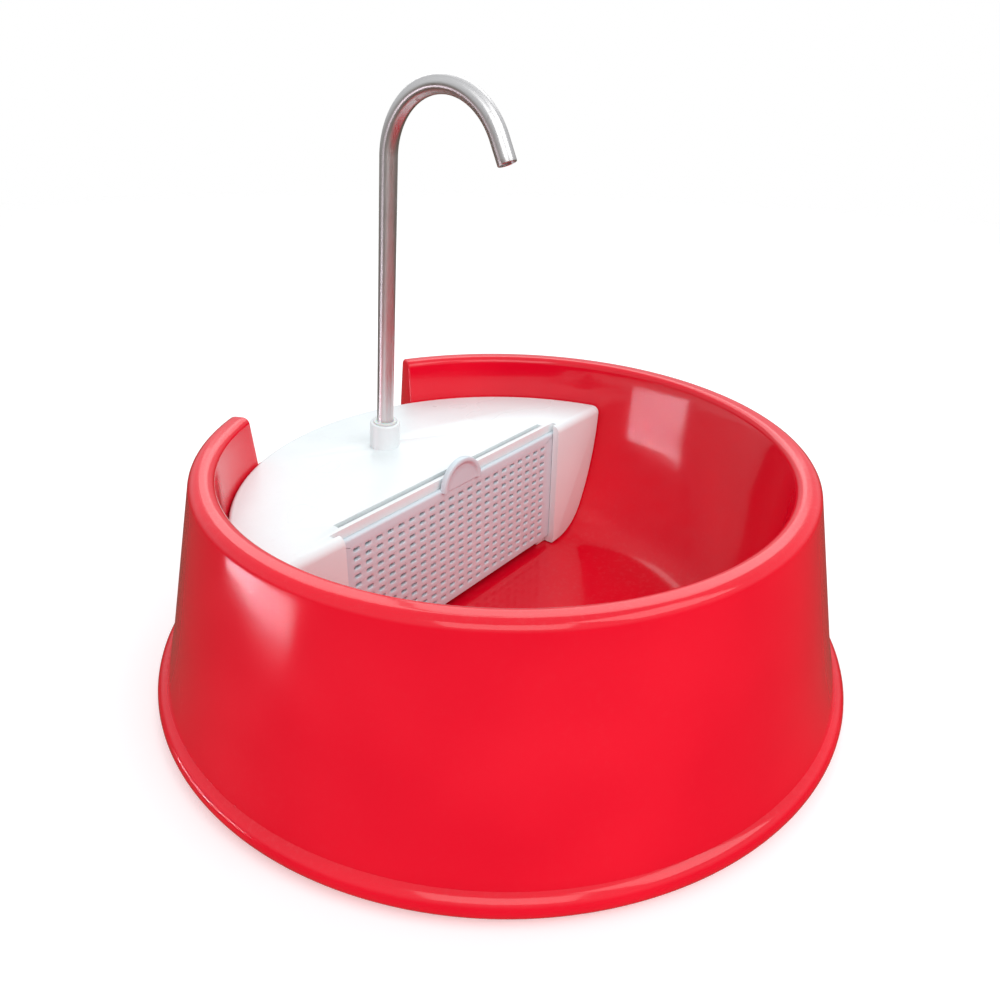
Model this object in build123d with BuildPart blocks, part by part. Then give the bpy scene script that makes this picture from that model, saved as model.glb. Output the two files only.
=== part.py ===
from build123d import *
from math import atan2, cos, degrees, radians, sin, sqrt, tan
import os

os.makedirs("parts", exist_ok=True)

# Pet drinking fountain.  Millimetres, +Z up.  The origin is the middle of the base on the floor,
# the rim notch is at +Y and the drinking side, which the grille faces, is at -Y.

# Bowl: one double-walled moulding
foot_r = 140.0  # widest, at the bead round the foot
foot_gap = 0.6  # the bead clears the floor, the rubber pads carry the bowl
bead_z = 5.2
bead_top = (136.2, 10.4)
flare_start = (130.2, 32.0)
rim_h = 90.3
rim_outer_r = 117.6
rim_round_outer = 3.8
rim_round_inner = 3.0
bowl_wall = 2.8
floor_z = 6.3
wall_draft = 5.2
knee = (106.35, 62.0)  # where the inner wall starts to curve in
belly_r = 120.0
belly_sweep = 21.5
notch_angle = 25.8  # from +Y to each end of the notch
notch_z = 56.0

# Rubber pads under the bowl
pad_r = 8.0
pad_ring_r = 58.0
pad_count = 4

# Pump housing: a cover that stands on the bowl floor against the rear wall
housing_gap = 0.5
housing_wall = 2.4
housing_top = 70.4
mouth_r = 88.0  # open underneath, wide enough for the pump to pass straight down
mouth_h = 16.0
front_y = 20.0
front_wall = 3.2
front_round = 3.6
top_round = 1.6
window_half = 67.4
jamb_half = 61.0
jamb_back_y = 32.2
jamb_outer = 73.0
lip_z = 63.6
lead_gap_w = 8.0
lead_gap_h = 11.0

# Grille and filter, which slide in the housing's grooves
slide_gap = 0.2
groove_half = 70.0
grille_t = 2.0
grille_z = 10.2
grille_top = 66.6
hole_cols = 21
hole_rows = 13
hole_pitch_x = 5.95
hole_pitch_z = 3.86
hole_w = 3.3
hole_h = 1.5
hole_top_z = 60.8
tab_r = 12.0
tab_t = 2.8
tab_z = 65.4
slot_half = 63.8
slot_y = 27.5
filter_t = 2.4
filter_z = 12.4
filter_top = 67.4
filter_rail = 5.0
filter_bars = 3

# Spout: bent steel tube, leaning a little towards the drinking side
spout_y = 68.0
spout_lean = 4.46
tube_r = 3.5
tube_bore_r = 2.7
spout_below = 19.0
spout_straight = 121.7
arch_r = 27.7
arch_sweep = 151.3
outlet_l = 8.7  # straight end of the tube
boss_r = 6.5
boss_h = 11.5
spigot_r = 5.0
spigot_below = 13.0
seal_r = 4.7
seal_depth = 3.0
seal_flange_r = 5.3
seal_flange_t = 0.9
turn_gap = 0.07

# Pump: the impeller turns about X, the outlet stands straight under the spout
axis_y = 61.0
axis_z = 23.5
case_x = (5.0, 38.0)
case_y = (46.0, 76.0)
case_z = (12.0, 36.0)
case_wall = 1.5
well_r = 6.9
well_end = 22.0
nozzle_y = 70.2
nozzle_r = 4.0
nozzle_bore_r = 2.6
nozzle_top = 47.0
volute_x = (-7.0, 5.0)
volute_r = 13.0
chamber_r = 11.2
intake_r = 4.6


def tilt_point(height):
    """The point of the spout's straight axis this far along it from the housing's top."""
    return (0, spout_y - height * sin(radians(spout_lean)), housing_top + height * cos(radians(spout_lean)))


def cavity_outline(inset, top_z):
    """Half-section of the space inside the bowl, drawn inset from the bowl's inner face."""
    draft = radians(wall_draft)
    turned = radians(wall_draft + belly_sweep)
    belly_end = knee[1] - belly_r * (sin(turned) - sin(draft))
    corner_r = (belly_end - floor_z) / (1 - sin(turned))
    start = (knee[0] - inset * cos(draft), knee[1] + inset * sin(draft))
    top_r = start[0] + (top_z - start[1]) * tan(draft)
    with BuildSketch(Plane.XZ) as outline:
        with BuildLine():
            Polyline((0, floor_z + inset), (0, top_z), (top_r, top_z), start)
            belly = JernArc(start, (-sin(draft), -cos(draft)), belly_r - inset, -belly_sweep)
            corner_sweep = 90 - wall_draft - belly_sweep
            corner = JernArc(belly @ 1, belly % 1, corner_r - inset, -corner_sweep)
            Line(corner @ 1, (0, floor_z + inset))
        make_face()
    return outline.sketch


def skirt_outline():
    """Half-section of the bowl's outside, filled to the axis."""
    with BuildSketch(Plane.XZ) as outline:
        with BuildLine():
            Polyline((0, rim_h), (0, foot_gap), (bead_top[0] - 1.2, foot_gap))
            ThreePointArc((bead_top[0] - 1.2, foot_gap), (foot_r, bead_z), bead_top)
            flare_dir = (rim_outer_r - flare_start[0], rim_h - flare_start[1])
            flare = TangentArc(flare_start, bead_top, tangent=(-flare_dir[0], -flare_dir[1]))
            Polyline(flare @ 0, (rim_outer_r, rim_h), (0, rim_h))
        make_face()
    return outline.sketch


def skirt_hollow_outline():
    """Half-section of the space the skirt encloses, one wall inside it."""
    lean = atan2(flare_start[0] - rim_outer_r, rim_h - flare_start[1])
    inset = bowl_wall / cos(lean)
    top_z = rim_h - bowl_wall
    top_r = rim_outer_r + bowl_wall * tan(lean) - inset
    with BuildSketch(Plane.XZ) as outline:
        with BuildLine():
            Polyline(
                (0, 0),
                (bead_top[0] - bowl_wall - 0.6, 0),
                (bead_top[0] - bowl_wall - 0.6, bead_top[1]),
                (flare_start[0] - inset, flare_start[1]),
                (top_r, top_z),
                (0, top_z),
                close=True,
            )
        make_face()
    return outline.sketch


def notch_outline(margin):
    """The notch seen from above: a wedge from the axis, grown by a margin at both ends."""
    end = radians(notch_angle)
    apex_y = -margin / sin(end)
    side_x = 2 * foot_r * tan(end)
    with BuildSketch() as outline:
        with BuildLine():
            Polyline((0, apex_y), (side_x, apex_y + 2 * foot_r), (-side_x, apex_y + 2 * foot_r), close=True)
        make_face()
    return outline.sketch


cavity = cavity_outline(0, rim_h + 1)
cavity_skin = cavity_outline(-bowl_wall, rim_h + 1)
skirt = skirt_outline()
skirt_hollow = skirt_hollow_outline()

with BuildPart() as underside:
    revolve(skirt_hollow, axis=Axis.Z)
    revolve(cavity_skin, axis=Axis.Z, mode=Mode.SUBTRACT)
    with BuildSketch(Plane.XY.offset(notch_z - bowl_wall)):
        add(notch_outline(bowl_wall))
    extrude(amount=rim_h, mode=Mode.SUBTRACT)

with BuildPart() as bowl:
    revolve(skirt, axis=Axis.Z)
    revolve(cavity, axis=Axis.Z, mode=Mode.SUBTRACT)
    rim_edges = bowl.edges().filter_by(GeomType.CIRCLE).filter_by_position(Axis.Z, rim_h - 0.01, rim_h + 0.01)
    fillet(rim_edges.sort_by(SortBy.RADIUS)[-1], rim_round_outer)
    rim_edges = bowl.edges().filter_by(GeomType.CIRCLE).filter_by_position(Axis.Z, rim_h - 0.01, rim_h + 0.01)
    fillet(rim_edges.sort_by(SortBy.RADIUS)[0], rim_round_inner)
    with BuildSketch(Plane.XY.offset(notch_z)):
        add(notch_outline(0))
    extrude(amount=rim_h, mode=Mode.SUBTRACT)
    horn_faces = bowl.faces().filter_by(GeomType.PLANE).filter_by(lambda f: abs(f.normal_at().Z) < 0.01)
    horn_edges = [e for e in horn_faces.edges() if e.center().Z > notch_z + 0.1]
    fillet(horn_edges, 0.8)
    add(underside.part, mode=Mode.SUBTRACT)
bowl.part.label = "bowl"
export_step(bowl.part, "parts/bowl.step")

with BuildPart() as foot_pads:
    with BuildSketch():
        with PolarLocations(pad_ring_r, pad_count, start_angle=45):
            Circle(pad_r)
    extrude(amount=floor_z - bowl_wall)
    chamfer(foot_pads.edges().group_by(Axis.Z)[0], 0.6)
foot_pads.part.label = "foot_pads"
export_step(foot_pads.part, "parts/foot_pads.step")

# Pump housing
spout_base = Plane(
    origin=(0, spout_y, housing_top),
    x_dir=(1, 0, 0),
    z_dir=(0, -sin(radians(spout_lean)), cos(radians(spout_lean))),
)
housing_skin = cavity_outline(housing_gap, housing_top)
housing_core = cavity_outline(housing_gap + housing_wall, housing_top - housing_wall)

with BuildPart() as pump_room:
    revolve(housing_core, axis=Axis.Z)
    with BuildSketch():
        Circle(mouth_r)
    extrude(amount=mouth_h)
    split(bisect_by=Plane.XZ.offset(-front_y - front_wall), keep=Keep.BOTTOM)
    with BuildSketch(Plane.XY):
        for side in (-1, 1):
            with Locations((side * (jamb_half + jamb_outer) / 2, jamb_back_y / 2)):
                Rectangle(jamb_outer - jamb_half, jamb_back_y)
    extrude(amount=housing_top, mode=Mode.SUBTRACT)
    with BuildSketch(Plane.XY.offset(lip_z)):
        with Locations((0, slot_y / 2)):
            Rectangle(2 * jamb_outer, slot_y)
    extrude(amount=housing_top, mode=Mode.SUBTRACT)

grille_groove_y = (front_y + front_wall, front_y + front_wall + grille_t + 2 * slide_gap)
filter_groove_y = (slot_y, slot_y + filter_t + 2 * slide_gap)

with BuildPart() as housing:
    revolve(housing_skin, axis=Axis.Z)
    split(bisect_by=Plane.XZ.offset(-front_y), keep=Keep.BOTTOM)
    top_edges = housing.faces().sort_by(Axis.Z)[-1].edges()
    fillet(top_edges.filter_by(GeomType.LINE), front_round)
    fillet(housing.faces().sort_by(Axis.Z)[-1].edges().filter_by(GeomType.CIRCLE), top_round)
    with BuildSketch(spout_base):
        Circle(boss_r)
    extrude(amount=boss_h)
    fillet(housing.edges().filter_by(GeomType.CIRCLE).sort_by(Axis.Z)[-1], 0.8)
    add(pump_room.part, mode=Mode.SUBTRACT)
    with BuildSketch(spout_base.offset(-1)):
        Circle(spigot_r)
    extrude(amount=1 - spigot_below)
    # recess in front of the grille, open at the top and at the bottom
    with BuildSketch(Plane.XY):
        with Locations((0, grille_groove_y[1] / 2)):
            Rectangle(2 * window_half, grille_groove_y[1])
    extrude(amount=housing_top + 1, mode=Mode.SUBTRACT)
    with BuildSketch(Plane.XY.offset(grille_z - slide_gap)):
        with Locations((0, sum(grille_groove_y) / 2)):
            Rectangle(2 * groove_half, grille_groove_y[1] - grille_groove_y[0])
    extrude(amount=housing_top, mode=Mode.SUBTRACT)
    with BuildSketch(Plane.XY.offset(filter_z - slide_gap)):
        with Locations((0, sum(filter_groove_y) / 2)):
            Rectangle(2 * slot_half, filter_groove_y[1] - filter_groove_y[0])
    extrude(amount=housing_top, mode=Mode.SUBTRACT)
    # bore for the spout and the seat of its seal
    with BuildSketch(spout_base.offset(-spout_below)):
        Circle(tube_r + turn_gap)
    extrude(amount=spout_below + 2 * boss_h, mode=Mode.SUBTRACT)
    with BuildSketch(spout_base.offset(boss_h - seal_depth)):
        Circle(seal_r)
    extrude(amount=seal_depth + 1, mode=Mode.SUBTRACT)
    # gap in the rear wall for the pump's lead, which leaves over the notch's ledge
    with BuildSketch(Plane.XZ.offset(-knee[0])):
        with Locations((0, notch_z + lead_gap_h / 2)):
            SlotOverall(lead_gap_h, lead_gap_w, rotation=90)
    extrude(amount=3 * housing_wall, both=True, mode=Mode.SUBTRACT)
housing.part.label = "housing"
export_step(housing.part, "parts/housing.step")

# Grille
grille_y = grille_groove_y[0] + slide_gap
with BuildPart() as grille:
    with BuildSketch(Plane.XZ.offset(-grille_y)):
        with Locations((0, (grille_z + grille_top) / 2)):
            Rectangle(2 * (groove_half - slide_gap), grille_top - grille_z)
        with Locations((0, hole_top_z - (hole_rows - 1) * hole_pitch_z / 2)):
            with GridLocations(hole_pitch_x, hole_pitch_z, hole_cols, hole_rows):
                SlotOverall(hole_w, hole_h, mode=Mode.SUBTRACT)
    extrude(amount=-grille_t)
    chamfer(grille.edges().filter_by(Axis.X).group_by(Axis.Z)[-1].sort_by(Axis.Y)[0], 1.2)
    with BuildSketch(Plane.XZ.offset(-(grille_y + 1.2 - tab_t))):
        with Locations((0, tab_z)):
            Circle(tab_r)
        with Locations((0, tab_z - tab_r)):
            Rectangle(4 * tab_r, 2 * tab_r, mode=Mode.SUBTRACT)
    extrude(amount=-tab_t)
    fillet(grille.edges().filter_by(GeomType.CIRCLE).filter_by(lambda e: e.radius > 11), 0.6)
    with BuildSketch(Plane.XZ.offset(-(grille_y + 1.2 - tab_t))):
        with Locations((0, tab_z)):
            Circle(tab_r - 2)
        with Locations((0, tab_z - tab_r + 2)):
            Rectangle(4 * tab_r, 2 * tab_r, mode=Mode.SUBTRACT)
    extrude(amount=-0.9, mode=Mode.SUBTRACT)
grille.part.label = "grille"
export_step(grille.part, "parts/grille.step")

# Filter: a thin frame with a carbon pad in each of its windows
filter_y = slot_y + slide_gap
filter_half = slot_half - slide_gap
filter_h = filter_top - filter_z
bay_w = (2 * filter_half - (filter_bars + 2) * filter_rail) / (filter_bars + 1)
with BuildPart() as filter_frame:
    with BuildSketch(Plane.XZ.offset(-filter_y)):
        with Locations((0, filter_z + filter_h / 2)):
            Rectangle(2 * filter_half, filter_h)
            with GridLocations(bay_w + filter_rail, 1, filter_bars + 1, 1):
                Rectangle(bay_w, filter_h - 2 * filter_rail, mode=Mode.SUBTRACT)
    extrude(amount=-filter_t)
filter_frame.part.label = "filter_frame"
export_step(filter_frame.part, "parts/filter_frame.step")

with BuildPart() as carbon_pads:
    with BuildSketch(Plane.XZ.offset(-filter_y - 0.2)):
        with Locations((0, filter_z + filter_h / 2)):
            with GridLocations(bay_w + filter_rail, 1, filter_bars + 1, 1):
                Rectangle(bay_w, filter_h - 2 * filter_rail)
    extrude(amount=-(filter_t - 0.4))
carbon_pads.part.label = "carbon_pads"
export_step(carbon_pads.part, "parts/carbon_pads.step")

# Spout
lean = radians(spout_lean)
with BuildPart() as spout:
    with BuildLine(Plane.YZ) as spout_path:
        low = tilt_point(-spout_below + 1)
        high = tilt_point(spout_straight)
        straight = Line(low[1:], high[1:])
        arch = JernArc(straight @ 1, straight % 1, arch_r, arch_sweep)
        Line(arch @ 1, arch @ 1 + outlet_l * (arch % 1))
    with BuildSketch(spout_base.offset(-spout_below + 1)):
        Circle(tube_r)
        Circle(tube_bore_r, mode=Mode.SUBTRACT)
    sweep(path=spout_path.wires()[0])
spout.part.label = "spout"
export_step(spout.part, "parts/spout.step")

with BuildPart() as spout_seal:
    with BuildSketch(spout_base.offset(boss_h - seal_depth)):
        Circle(seal_r)
        Circle(tube_r + turn_gap, mode=Mode.SUBTRACT)
    extrude(amount=seal_depth)
    with BuildSketch(spout_base.offset(boss_h)):
        Circle(seal_flange_r)
        Circle(tube_r + turn_gap, mode=Mode.SUBTRACT)
    extrude(amount=seal_flange_t)
    fillet(spout_seal.edges().group_by(Axis.Z)[-1].sort_by(SortBy.RADIUS)[-1], 0.4)
spout_seal.part.label = "spout_seal"
export_step(spout_seal.part, "parts/spout_seal.step")

# Silicone hose from the spigot inside the housing down over the pump's outlet
hose_r = 6.6
hose_bottom = 38.0
hose_mid = 49.0
with BuildPart() as feed_hose:
    with BuildSketch(Plane.XY.offset(hose_bottom)):
        with Locations((0, nozzle_y)):
            Circle(hose_r)
    extrude(amount=hose_mid - hose_bottom)
    with BuildSketch(spout_base.offset(-spigot_below + 4)):
        Circle(hose_r)
    extrude(amount=-14)
    with BuildSketch(spout_base.offset(-spigot_below)):
        Circle(spigot_r)
    extrude(amount=10, mode=Mode.SUBTRACT)
    with BuildSketch(spout_base.offset(-spigot_below - 12)):
        Circle(tube_r + 0.3)
    extrude(amount=12, mode=Mode.SUBTRACT)
    with BuildSketch(Plane.XY.offset(hose_bottom)):
        with Locations((0, nozzle_y)):
            Circle(nozzle_r + turn_gap)
    extrude(amount=hose_mid - hose_bottom, mode=Mode.SUBTRACT)
feed_hose.part.label = "feed_hose"
export_step(feed_hose.part, "parts/feed_hose.step")

# Pump: a potted motor block, with the rotor well and the impeller chamber at its -X end
case_mid_y = sum(case_y) / 2
case_mid_z = sum(case_z) / 2
case_w = case_y[1] - case_y[0]
case_h = case_z[1] - case_z[0]
case_end = Plane.YZ.offset(case_x[1])
core_x = (7.5, 33.0)
core_arm = 4.5
core_t = 10.0
arm_y = 10.2  # distance of each arm's middle from the rotor's axis
bobbin_half = 7.4
winding_t = 1.6
cup_points = [(x, y) for x in (10.0, 28.0) for y in (50.5, 62.0)]
cup_stem_r = 2.2

with BuildPart() as pump_case:
    with BuildSketch(case_end):
        with Locations((case_mid_y, case_mid_z)):
            RectangleRounded(case_w, case_h, 4.5)
    extrude(amount=case_x[0] - case_x[1])
    with BuildSketch(case_end):
        with Locations((case_mid_y, case_mid_z)):
            RectangleRounded(case_w - 2 * case_wall, case_h - 2 * case_wall, 3)
    extrude(amount=case_x[0] + case_wall - case_x[1], mode=Mode.SUBTRACT)
    with BuildSketch(Plane.YZ.offset(case_x[0])):
        with Locations((axis_y, axis_z)):
            Circle(well_r + 0.9)
    extrude(amount=well_end + 1 - case_x[0])
    with BuildSketch(Plane.YZ.offset(case_x[0])):
        with Locations((axis_y, axis_z)):
            Circle(well_r)
    extrude(amount=well_end - case_x[0], mode=Mode.SUBTRACT)
    with BuildSketch(Plane.XY.offset(case_z[0])):
        with Locations(cup_points):
            Circle(cup_stem_r)
    extrude(amount=case_wall, mode=Mode.SUBTRACT)
pump_case.part.label = "pump_case"
export_step(pump_case.part, "parts/pump_case.step")

with BuildPart() as stator_core:
    with BuildSketch(Plane.XY.offset(axis_z - core_t / 2)):
        for side in (-1, 1):
            with Locations((sum(core_x) / 2, axis_y + side * arm_y)):
                Rectangle(core_x[1] - core_x[0], core_arm)
        with Locations((core_x[1] - core_arm / 2, axis_y)):
            Rectangle(core_arm, 2 * arm_y)
    extrude(amount=core_t)
stator_core.part.label = "stator_core"
export_step(stator_core.part, "parts/stator_core.step")

yoke_x = core_x[1] - core_arm / 2
bobbin_w = core_arm + 1.6
bobbin_h = core_t + 1.6
with BuildPart() as coil_bobbin:
    with BuildSketch(Plane.XZ.offset(-(axis_y - bobbin_half))):
        with Locations((yoke_x, axis_z)):
            Rectangle(bobbin_w, bobbin_h)
    extrude(amount=-2 * bobbin_half)
    for end in (axis_y - bobbin_half, axis_y + bobbin_half - 0.8):
        with BuildSketch(Plane.XZ.offset(-end)):
            with Locations((yoke_x, axis_z)):
                Rectangle(bobbin_w + 2 * winding_t, bobbin_h + 2 * winding_t)
        extrude(amount=-0.8)
    with BuildSketch(Plane.XZ.offset(-(axis_y - bobbin_half))):
        with Locations((yoke_x, axis_z)):
            Rectangle(core_arm, core_t)
    extrude(amount=-2 * bobbin_half, mode=Mode.SUBTRACT)
coil_bobbin.part.label = "coil_bobbin"
export_step(coil_bobbin.part, "parts/coil_bobbin.step")

with BuildPart() as coil_winding:
    with BuildSketch(Plane.XZ.offset(-(axis_y - bobbin_half + 0.8))):
        with Locations((yoke_x, axis_z)):
            Rectangle(bobbin_w + 2 * winding_t, bobbin_h + 2 * winding_t)
            Rectangle(bobbin_w, bobbin_h, mode=Mode.SUBTRACT)
    extrude(amount=-(2 * bobbin_half - 1.6))
coil_winding.part.label = "coil_winding"
export_step(coil_winding.part, "parts/coil_winding.step")

with BuildPart() as potting_resin:
    with BuildSketch(case_end.offset(-1)):
        with Locations((case_mid_y, case_mid_z)):
            RectangleRounded(case_w - 2 * case_wall, case_h - 2 * case_wall, 3)
    extrude(amount=case_x[0] + case_wall + 1 - case_x[1])
    with BuildSketch(Plane.YZ.offset(case_x[0])):
        with Locations((axis_y, axis_z)):
            Circle(well_r + 0.9)
    extrude(amount=well_end + 1 - case_x[0], mode=Mode.SUBTRACT)
    add(stator_core.part, mode=Mode.SUBTRACT)
    add(coil_bobbin.part, mode=Mode.SUBTRACT)
    add(coil_winding.part, mode=Mode.SUBTRACT)
potting_resin.part.label = "potting_resin"
export_step(potting_resin.part, "parts/potting_resin.step")

# Gland where the lead enters the resin at the closed end
gland_at = (52.0, 29.5)
with BuildPart() as cable_gland:
    with BuildSketch(case_end.offset(-1)):
        with Locations(gland_at):
            Circle(3.4)
    extrude(amount=3)
    with BuildSketch(case_end.offset(2)):
        with Locations(gland_at):
            Circle(2.8)
    extrude(amount=5, taper=3)
    with BuildSketch(case_end):
        with Locations(gland_at):
            Circle(1.7)
    extrude(amount=8, mode=Mode.SUBTRACT)
cable_gland.part.label = "cable_gland"
export_step(cable_gland.part, "parts/cable_gland.step")

# Suction cups: a lip on the bowl's floor, a neck, and a stem in the case's bottom
cup_lip_r = 5.2
with BuildPart() as suction_cups:
    for x, y in cup_points:
        with BuildSketch(Plane(origin=(x, y, floor_z), x_dir=(1, 0, 0), z_dir=(0, -1, 0))):
            with BuildLine():
                cup_h = case_z[0] - floor_z
                Polyline(
                    (0, 1.6),
                    (0, cup_h + case_wall),
                    (cup_stem_r, cup_h + case_wall),
                    (cup_stem_r, cup_h),
                    (cup_stem_r + 1, cup_h),
                    (cup_stem_r + 1, 2.6),
                )
                Spline((cup_stem_r + 1, 2.6), (4.4, 1.3), (cup_lip_r, 0))
                Line((cup_lip_r, 0), (cup_lip_r - 0.8, 0))
                Spline((cup_lip_r - 0.8, 0), (3.0, 1.1), (0, 1.6), tangents=((-0.7, 0.7), (-1, 0)))
            make_face()
        revolve(axis=Axis((x, y, 0), (0, 0, 1)))
suction_cups.part.label = "suction_cups"
export_step(suction_cups.part, "parts/suction_cups.step")

# Impeller chamber with the outlet, the intake and a three-legged bush holder
chamber_end = Plane.YZ.offset(volute_x[1])
chamber_front = Plane.YZ.offset(volute_x[0])
front_t = 1.8
leg_w = 1.3
seal_r_in = 11.6
seal_r_out = 12.5
seal_t = 0.8
bush_r = 1.8
pin_r = 1.6
shaft_r = 1.0

with BuildPart() as volute_cover:
    with BuildSketch(chamber_end):
        with Locations((axis_y, axis_z)):
            Circle(volute_r)
    extrude(amount=volute_x[0] - volute_x[1])
    with BuildSketch(Plane.XY.offset(axis_z)):
        with Locations((0, nozzle_y)):
            Circle(nozzle_r)
    extrude(amount=nozzle_top - axis_z)
    with BuildSketch(chamber_front.offset(front_t)):
        with Locations((axis_y, axis_z)):
            Circle(chamber_r)
    extrude(amount=volute_x[1] - volute_x[0], mode=Mode.SUBTRACT)
    with BuildSketch(Plane.XY.offset(axis_z)):
        with Locations((0, nozzle_y)):
            Circle(nozzle_bore_r)
    extrude(amount=nozzle_top - axis_z, mode=Mode.SUBTRACT)
    with BuildSketch(chamber_front):
        with Locations((axis_y, axis_z)):
            Circle(intake_r)
            Circle(2.6, mode=Mode.SUBTRACT)
            with PolarLocations(3.6, 3):
                Rectangle(4, leg_w, mode=Mode.SUBTRACT)
    extrude(amount=front_t, mode=Mode.SUBTRACT)
    with BuildSketch(chamber_front.offset(0.6)):
        with Locations((axis_y, axis_z)):
            Circle(bush_r)
    extrude(amount=front_t, mode=Mode.SUBTRACT)
    with BuildSketch(chamber_end):
        with Locations((axis_y, axis_z)):
            Circle(seal_r_out)
            Circle(seal_r_in, mode=Mode.SUBTRACT)
    extrude(amount=-seal_t, mode=Mode.SUBTRACT)
    with BuildSketch(chamber_front):
        with Locations((axis_y, axis_z)):
            Circle(pin_r)
    extrude(amount=-2)
volute_cover.part.label = "volute_cover"
export_step(volute_cover.part, "parts/volute_cover.step")

with BuildPart() as volute_seal:
    with BuildSketch(chamber_end):
        with Locations((axis_y, axis_z)):
            Circle(seal_r_out)
            Circle(seal_r_in, mode=Mode.SUBTRACT)
    extrude(amount=-seal_t)
volute_seal.part.label = "volute_seal"
export_step(volute_seal.part, "parts/volute_seal.step")

# Rotor: a ring magnet on the impeller's hub, turning on a fixed shaft between two rubber bushes
hub_r = 2.4
magnet_r = 6.2
magnet_x = (4.4, 18.4)
disc_x = (2.6, 3.8)
vane_x = -3.4
vane_r = 9.8
vane_count = 6

with BuildPart() as impeller:
    with BuildSketch(Plane.YZ.offset(vane_x)):
        with Locations((axis_y, axis_z)):
            Circle(hub_r)
    extrude(amount=magnet_x[1] - vane_x)
    with BuildSketch(Plane.YZ.offset(disc_x[0])):
        with Locations((axis_y, axis_z)):
            Circle(vane_r)
    extrude(amount=disc_x[1] - disc_x[0])
    with BuildSketch(Plane.YZ.offset(vane_x)):
        with Locations((axis_y, axis_z)):
            with PolarLocations((hub_r + vane_r) / 2, vane_count):
                Rectangle(vane_r - hub_r + 0.8, 1)
    extrude(amount=disc_x[0] - vane_x)
    with BuildSketch(Plane.YZ.offset(vane_x)):
        with Locations((axis_y, axis_z)):
            Circle(shaft_r + turn_gap)
    extrude(amount=magnet_x[1] - vane_x, mode=Mode.SUBTRACT)
impeller.part.label = "impeller"
export_step(impeller.part, "parts/impeller.step")

with BuildPart() as rotor_magnet:
    with BuildSketch(Plane.YZ.offset(magnet_x[0])):
        with Locations((axis_y, axis_z)):
            Circle(magnet_r)
            Circle(hub_r, mode=Mode.SUBTRACT)
    extrude(amount=magnet_x[1] - magnet_x[0])
    chamfer(rotor_magnet.edges().filter_by(lambda e: e.geom_type == GeomType.CIRCLE and e.radius > 6), 0.4)
rotor_magnet.part.label = "rotor_magnet"
export_step(rotor_magnet.part, "parts/rotor_magnet.step")

with BuildPart() as rotor_shaft:
    with BuildSketch(chamber_front.offset(0.9)):
        with Locations((axis_y, axis_z)):
            Circle(shaft_r)
    extrude(amount=well_end - 0.4 - volute_x[0] - 0.9)
rotor_shaft.part.label = "rotor_shaft"
export_step(rotor_shaft.part, "parts/rotor_shaft.step")

with BuildPart() as shaft_bushes:
    with BuildSketch(chamber_front.offset(0.6)):
        with Locations((axis_y, axis_z)):
            Circle(bush_r)
    extrude(amount=2)
    with BuildSketch(Plane.YZ.offset(well_end)):
        with Locations((axis_y, axis_z)):
            Circle(well_r)
    extrude(amount=-2.2)
    add(rotor_shaft.part, mode=Mode.SUBTRACT)
shaft_bushes.part.label = "shaft_bushes"
export_step(shaft_bushes.part, "parts/shaft_bushes.step")

# Flow dial: its three windows turn past the three intake openings
dial_r = 8.4
dial_t = 1.2
with BuildPart() as flow_dial:
    with BuildSketch(chamber_front.offset(-0.15)):
        with Locations((axis_y, axis_z)):
            Circle(dial_r)
            with Locations((0, dial_r)):
                RectangleRounded(2.6, 4, 0.8)
            Circle(intake_r, mode=Mode.SUBTRACT)
            Circle(2.9)
            with PolarLocations(3.7, 3):
                Rectangle(3.2, 3.4)
            Circle(pin_r + turn_gap, mode=Mode.SUBTRACT)
    extrude(amount=-dial_t)
flow_dial.part.label = "flow_dial"
export_step(flow_dial.part, "parts/flow_dial.step")

# Intake cover: a slotted cup pushed over the rim of the impeller chamber
cover_x = (-20.0, -4.6)
cover_wall = 1.4
slot_w = 1.5
slot_count = 14
with BuildPart() as intake_cover:
    with BuildSketch(Plane.YZ.offset(cover_x[0])):
        with Locations((axis_y, axis_z)):
            Circle(volute_r + cover_wall)
    extrude(amount=cover_x[1] - cover_x[0])
    fillet(intake_cover.edges().group_by(Axis.X)[0], 1.2)
    with BuildSketch(Plane.YZ.offset(cover_x[0] + cover_wall)):
        with Locations((axis_y, axis_z)):
            Circle(volute_r - 0.6)
    extrude(amount=cover_x[1] - cover_x[0], mode=Mode.SUBTRACT)
    with BuildSketch(chamber_front.offset(-1.6)):
        with Locations((axis_y, axis_z)):
            Circle(volute_r + turn_gap)
    extrude(amount=cover_x[1] - cover_x[0], mode=Mode.SUBTRACT)
    with BuildSketch(Plane.YZ.offset(cover_x[0])):
        with Locations((axis_y, axis_z)):
            with GridLocations(2 * slot_w, 1, 7, 1):
                SlotOverall(14, slot_w, rotation=90)
    extrude(amount=cover_wall, mode=Mode.SUBTRACT)
    for turn in range(slot_count):
        angle = 360 * turn / slot_count
        slot_plane = Plane((0, axis_y, axis_z), x_dir=(1, 0, 0), z_dir=(0, cos(radians(angle)), sin(radians(angle))))
        with BuildSketch(slot_plane.offset(volute_r - 2)):
            with Locations((cover_x[0] + 6, 0)):
                SlotOverall(7, slot_w)
        extrude(amount=4, mode=Mode.SUBTRACT)
intake_cover.part.label = "intake_cover"
export_step(intake_cover.part, "parts/intake_cover.step")

with BuildPart() as intake_foam:
    with BuildSketch(Plane.YZ.offset(cover_x[0] + cover_wall)):
        with Locations((axis_y, axis_z)):
            Circle(volute_r - 0.6)
    extrude(amount=7)
intake_foam.part.label = "intake_foam"
export_step(intake_foam.part, "parts/intake_foam.step")
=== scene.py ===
import random
from math import atan2, copysign, cos, hypot, pi, radians, sin, sqrt, tan

import bmesh
import bpy
from bpy.props import FloatProperty, FloatVectorProperty, IntProperty, PointerProperty
from mathutils import Matrix, Vector


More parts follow.
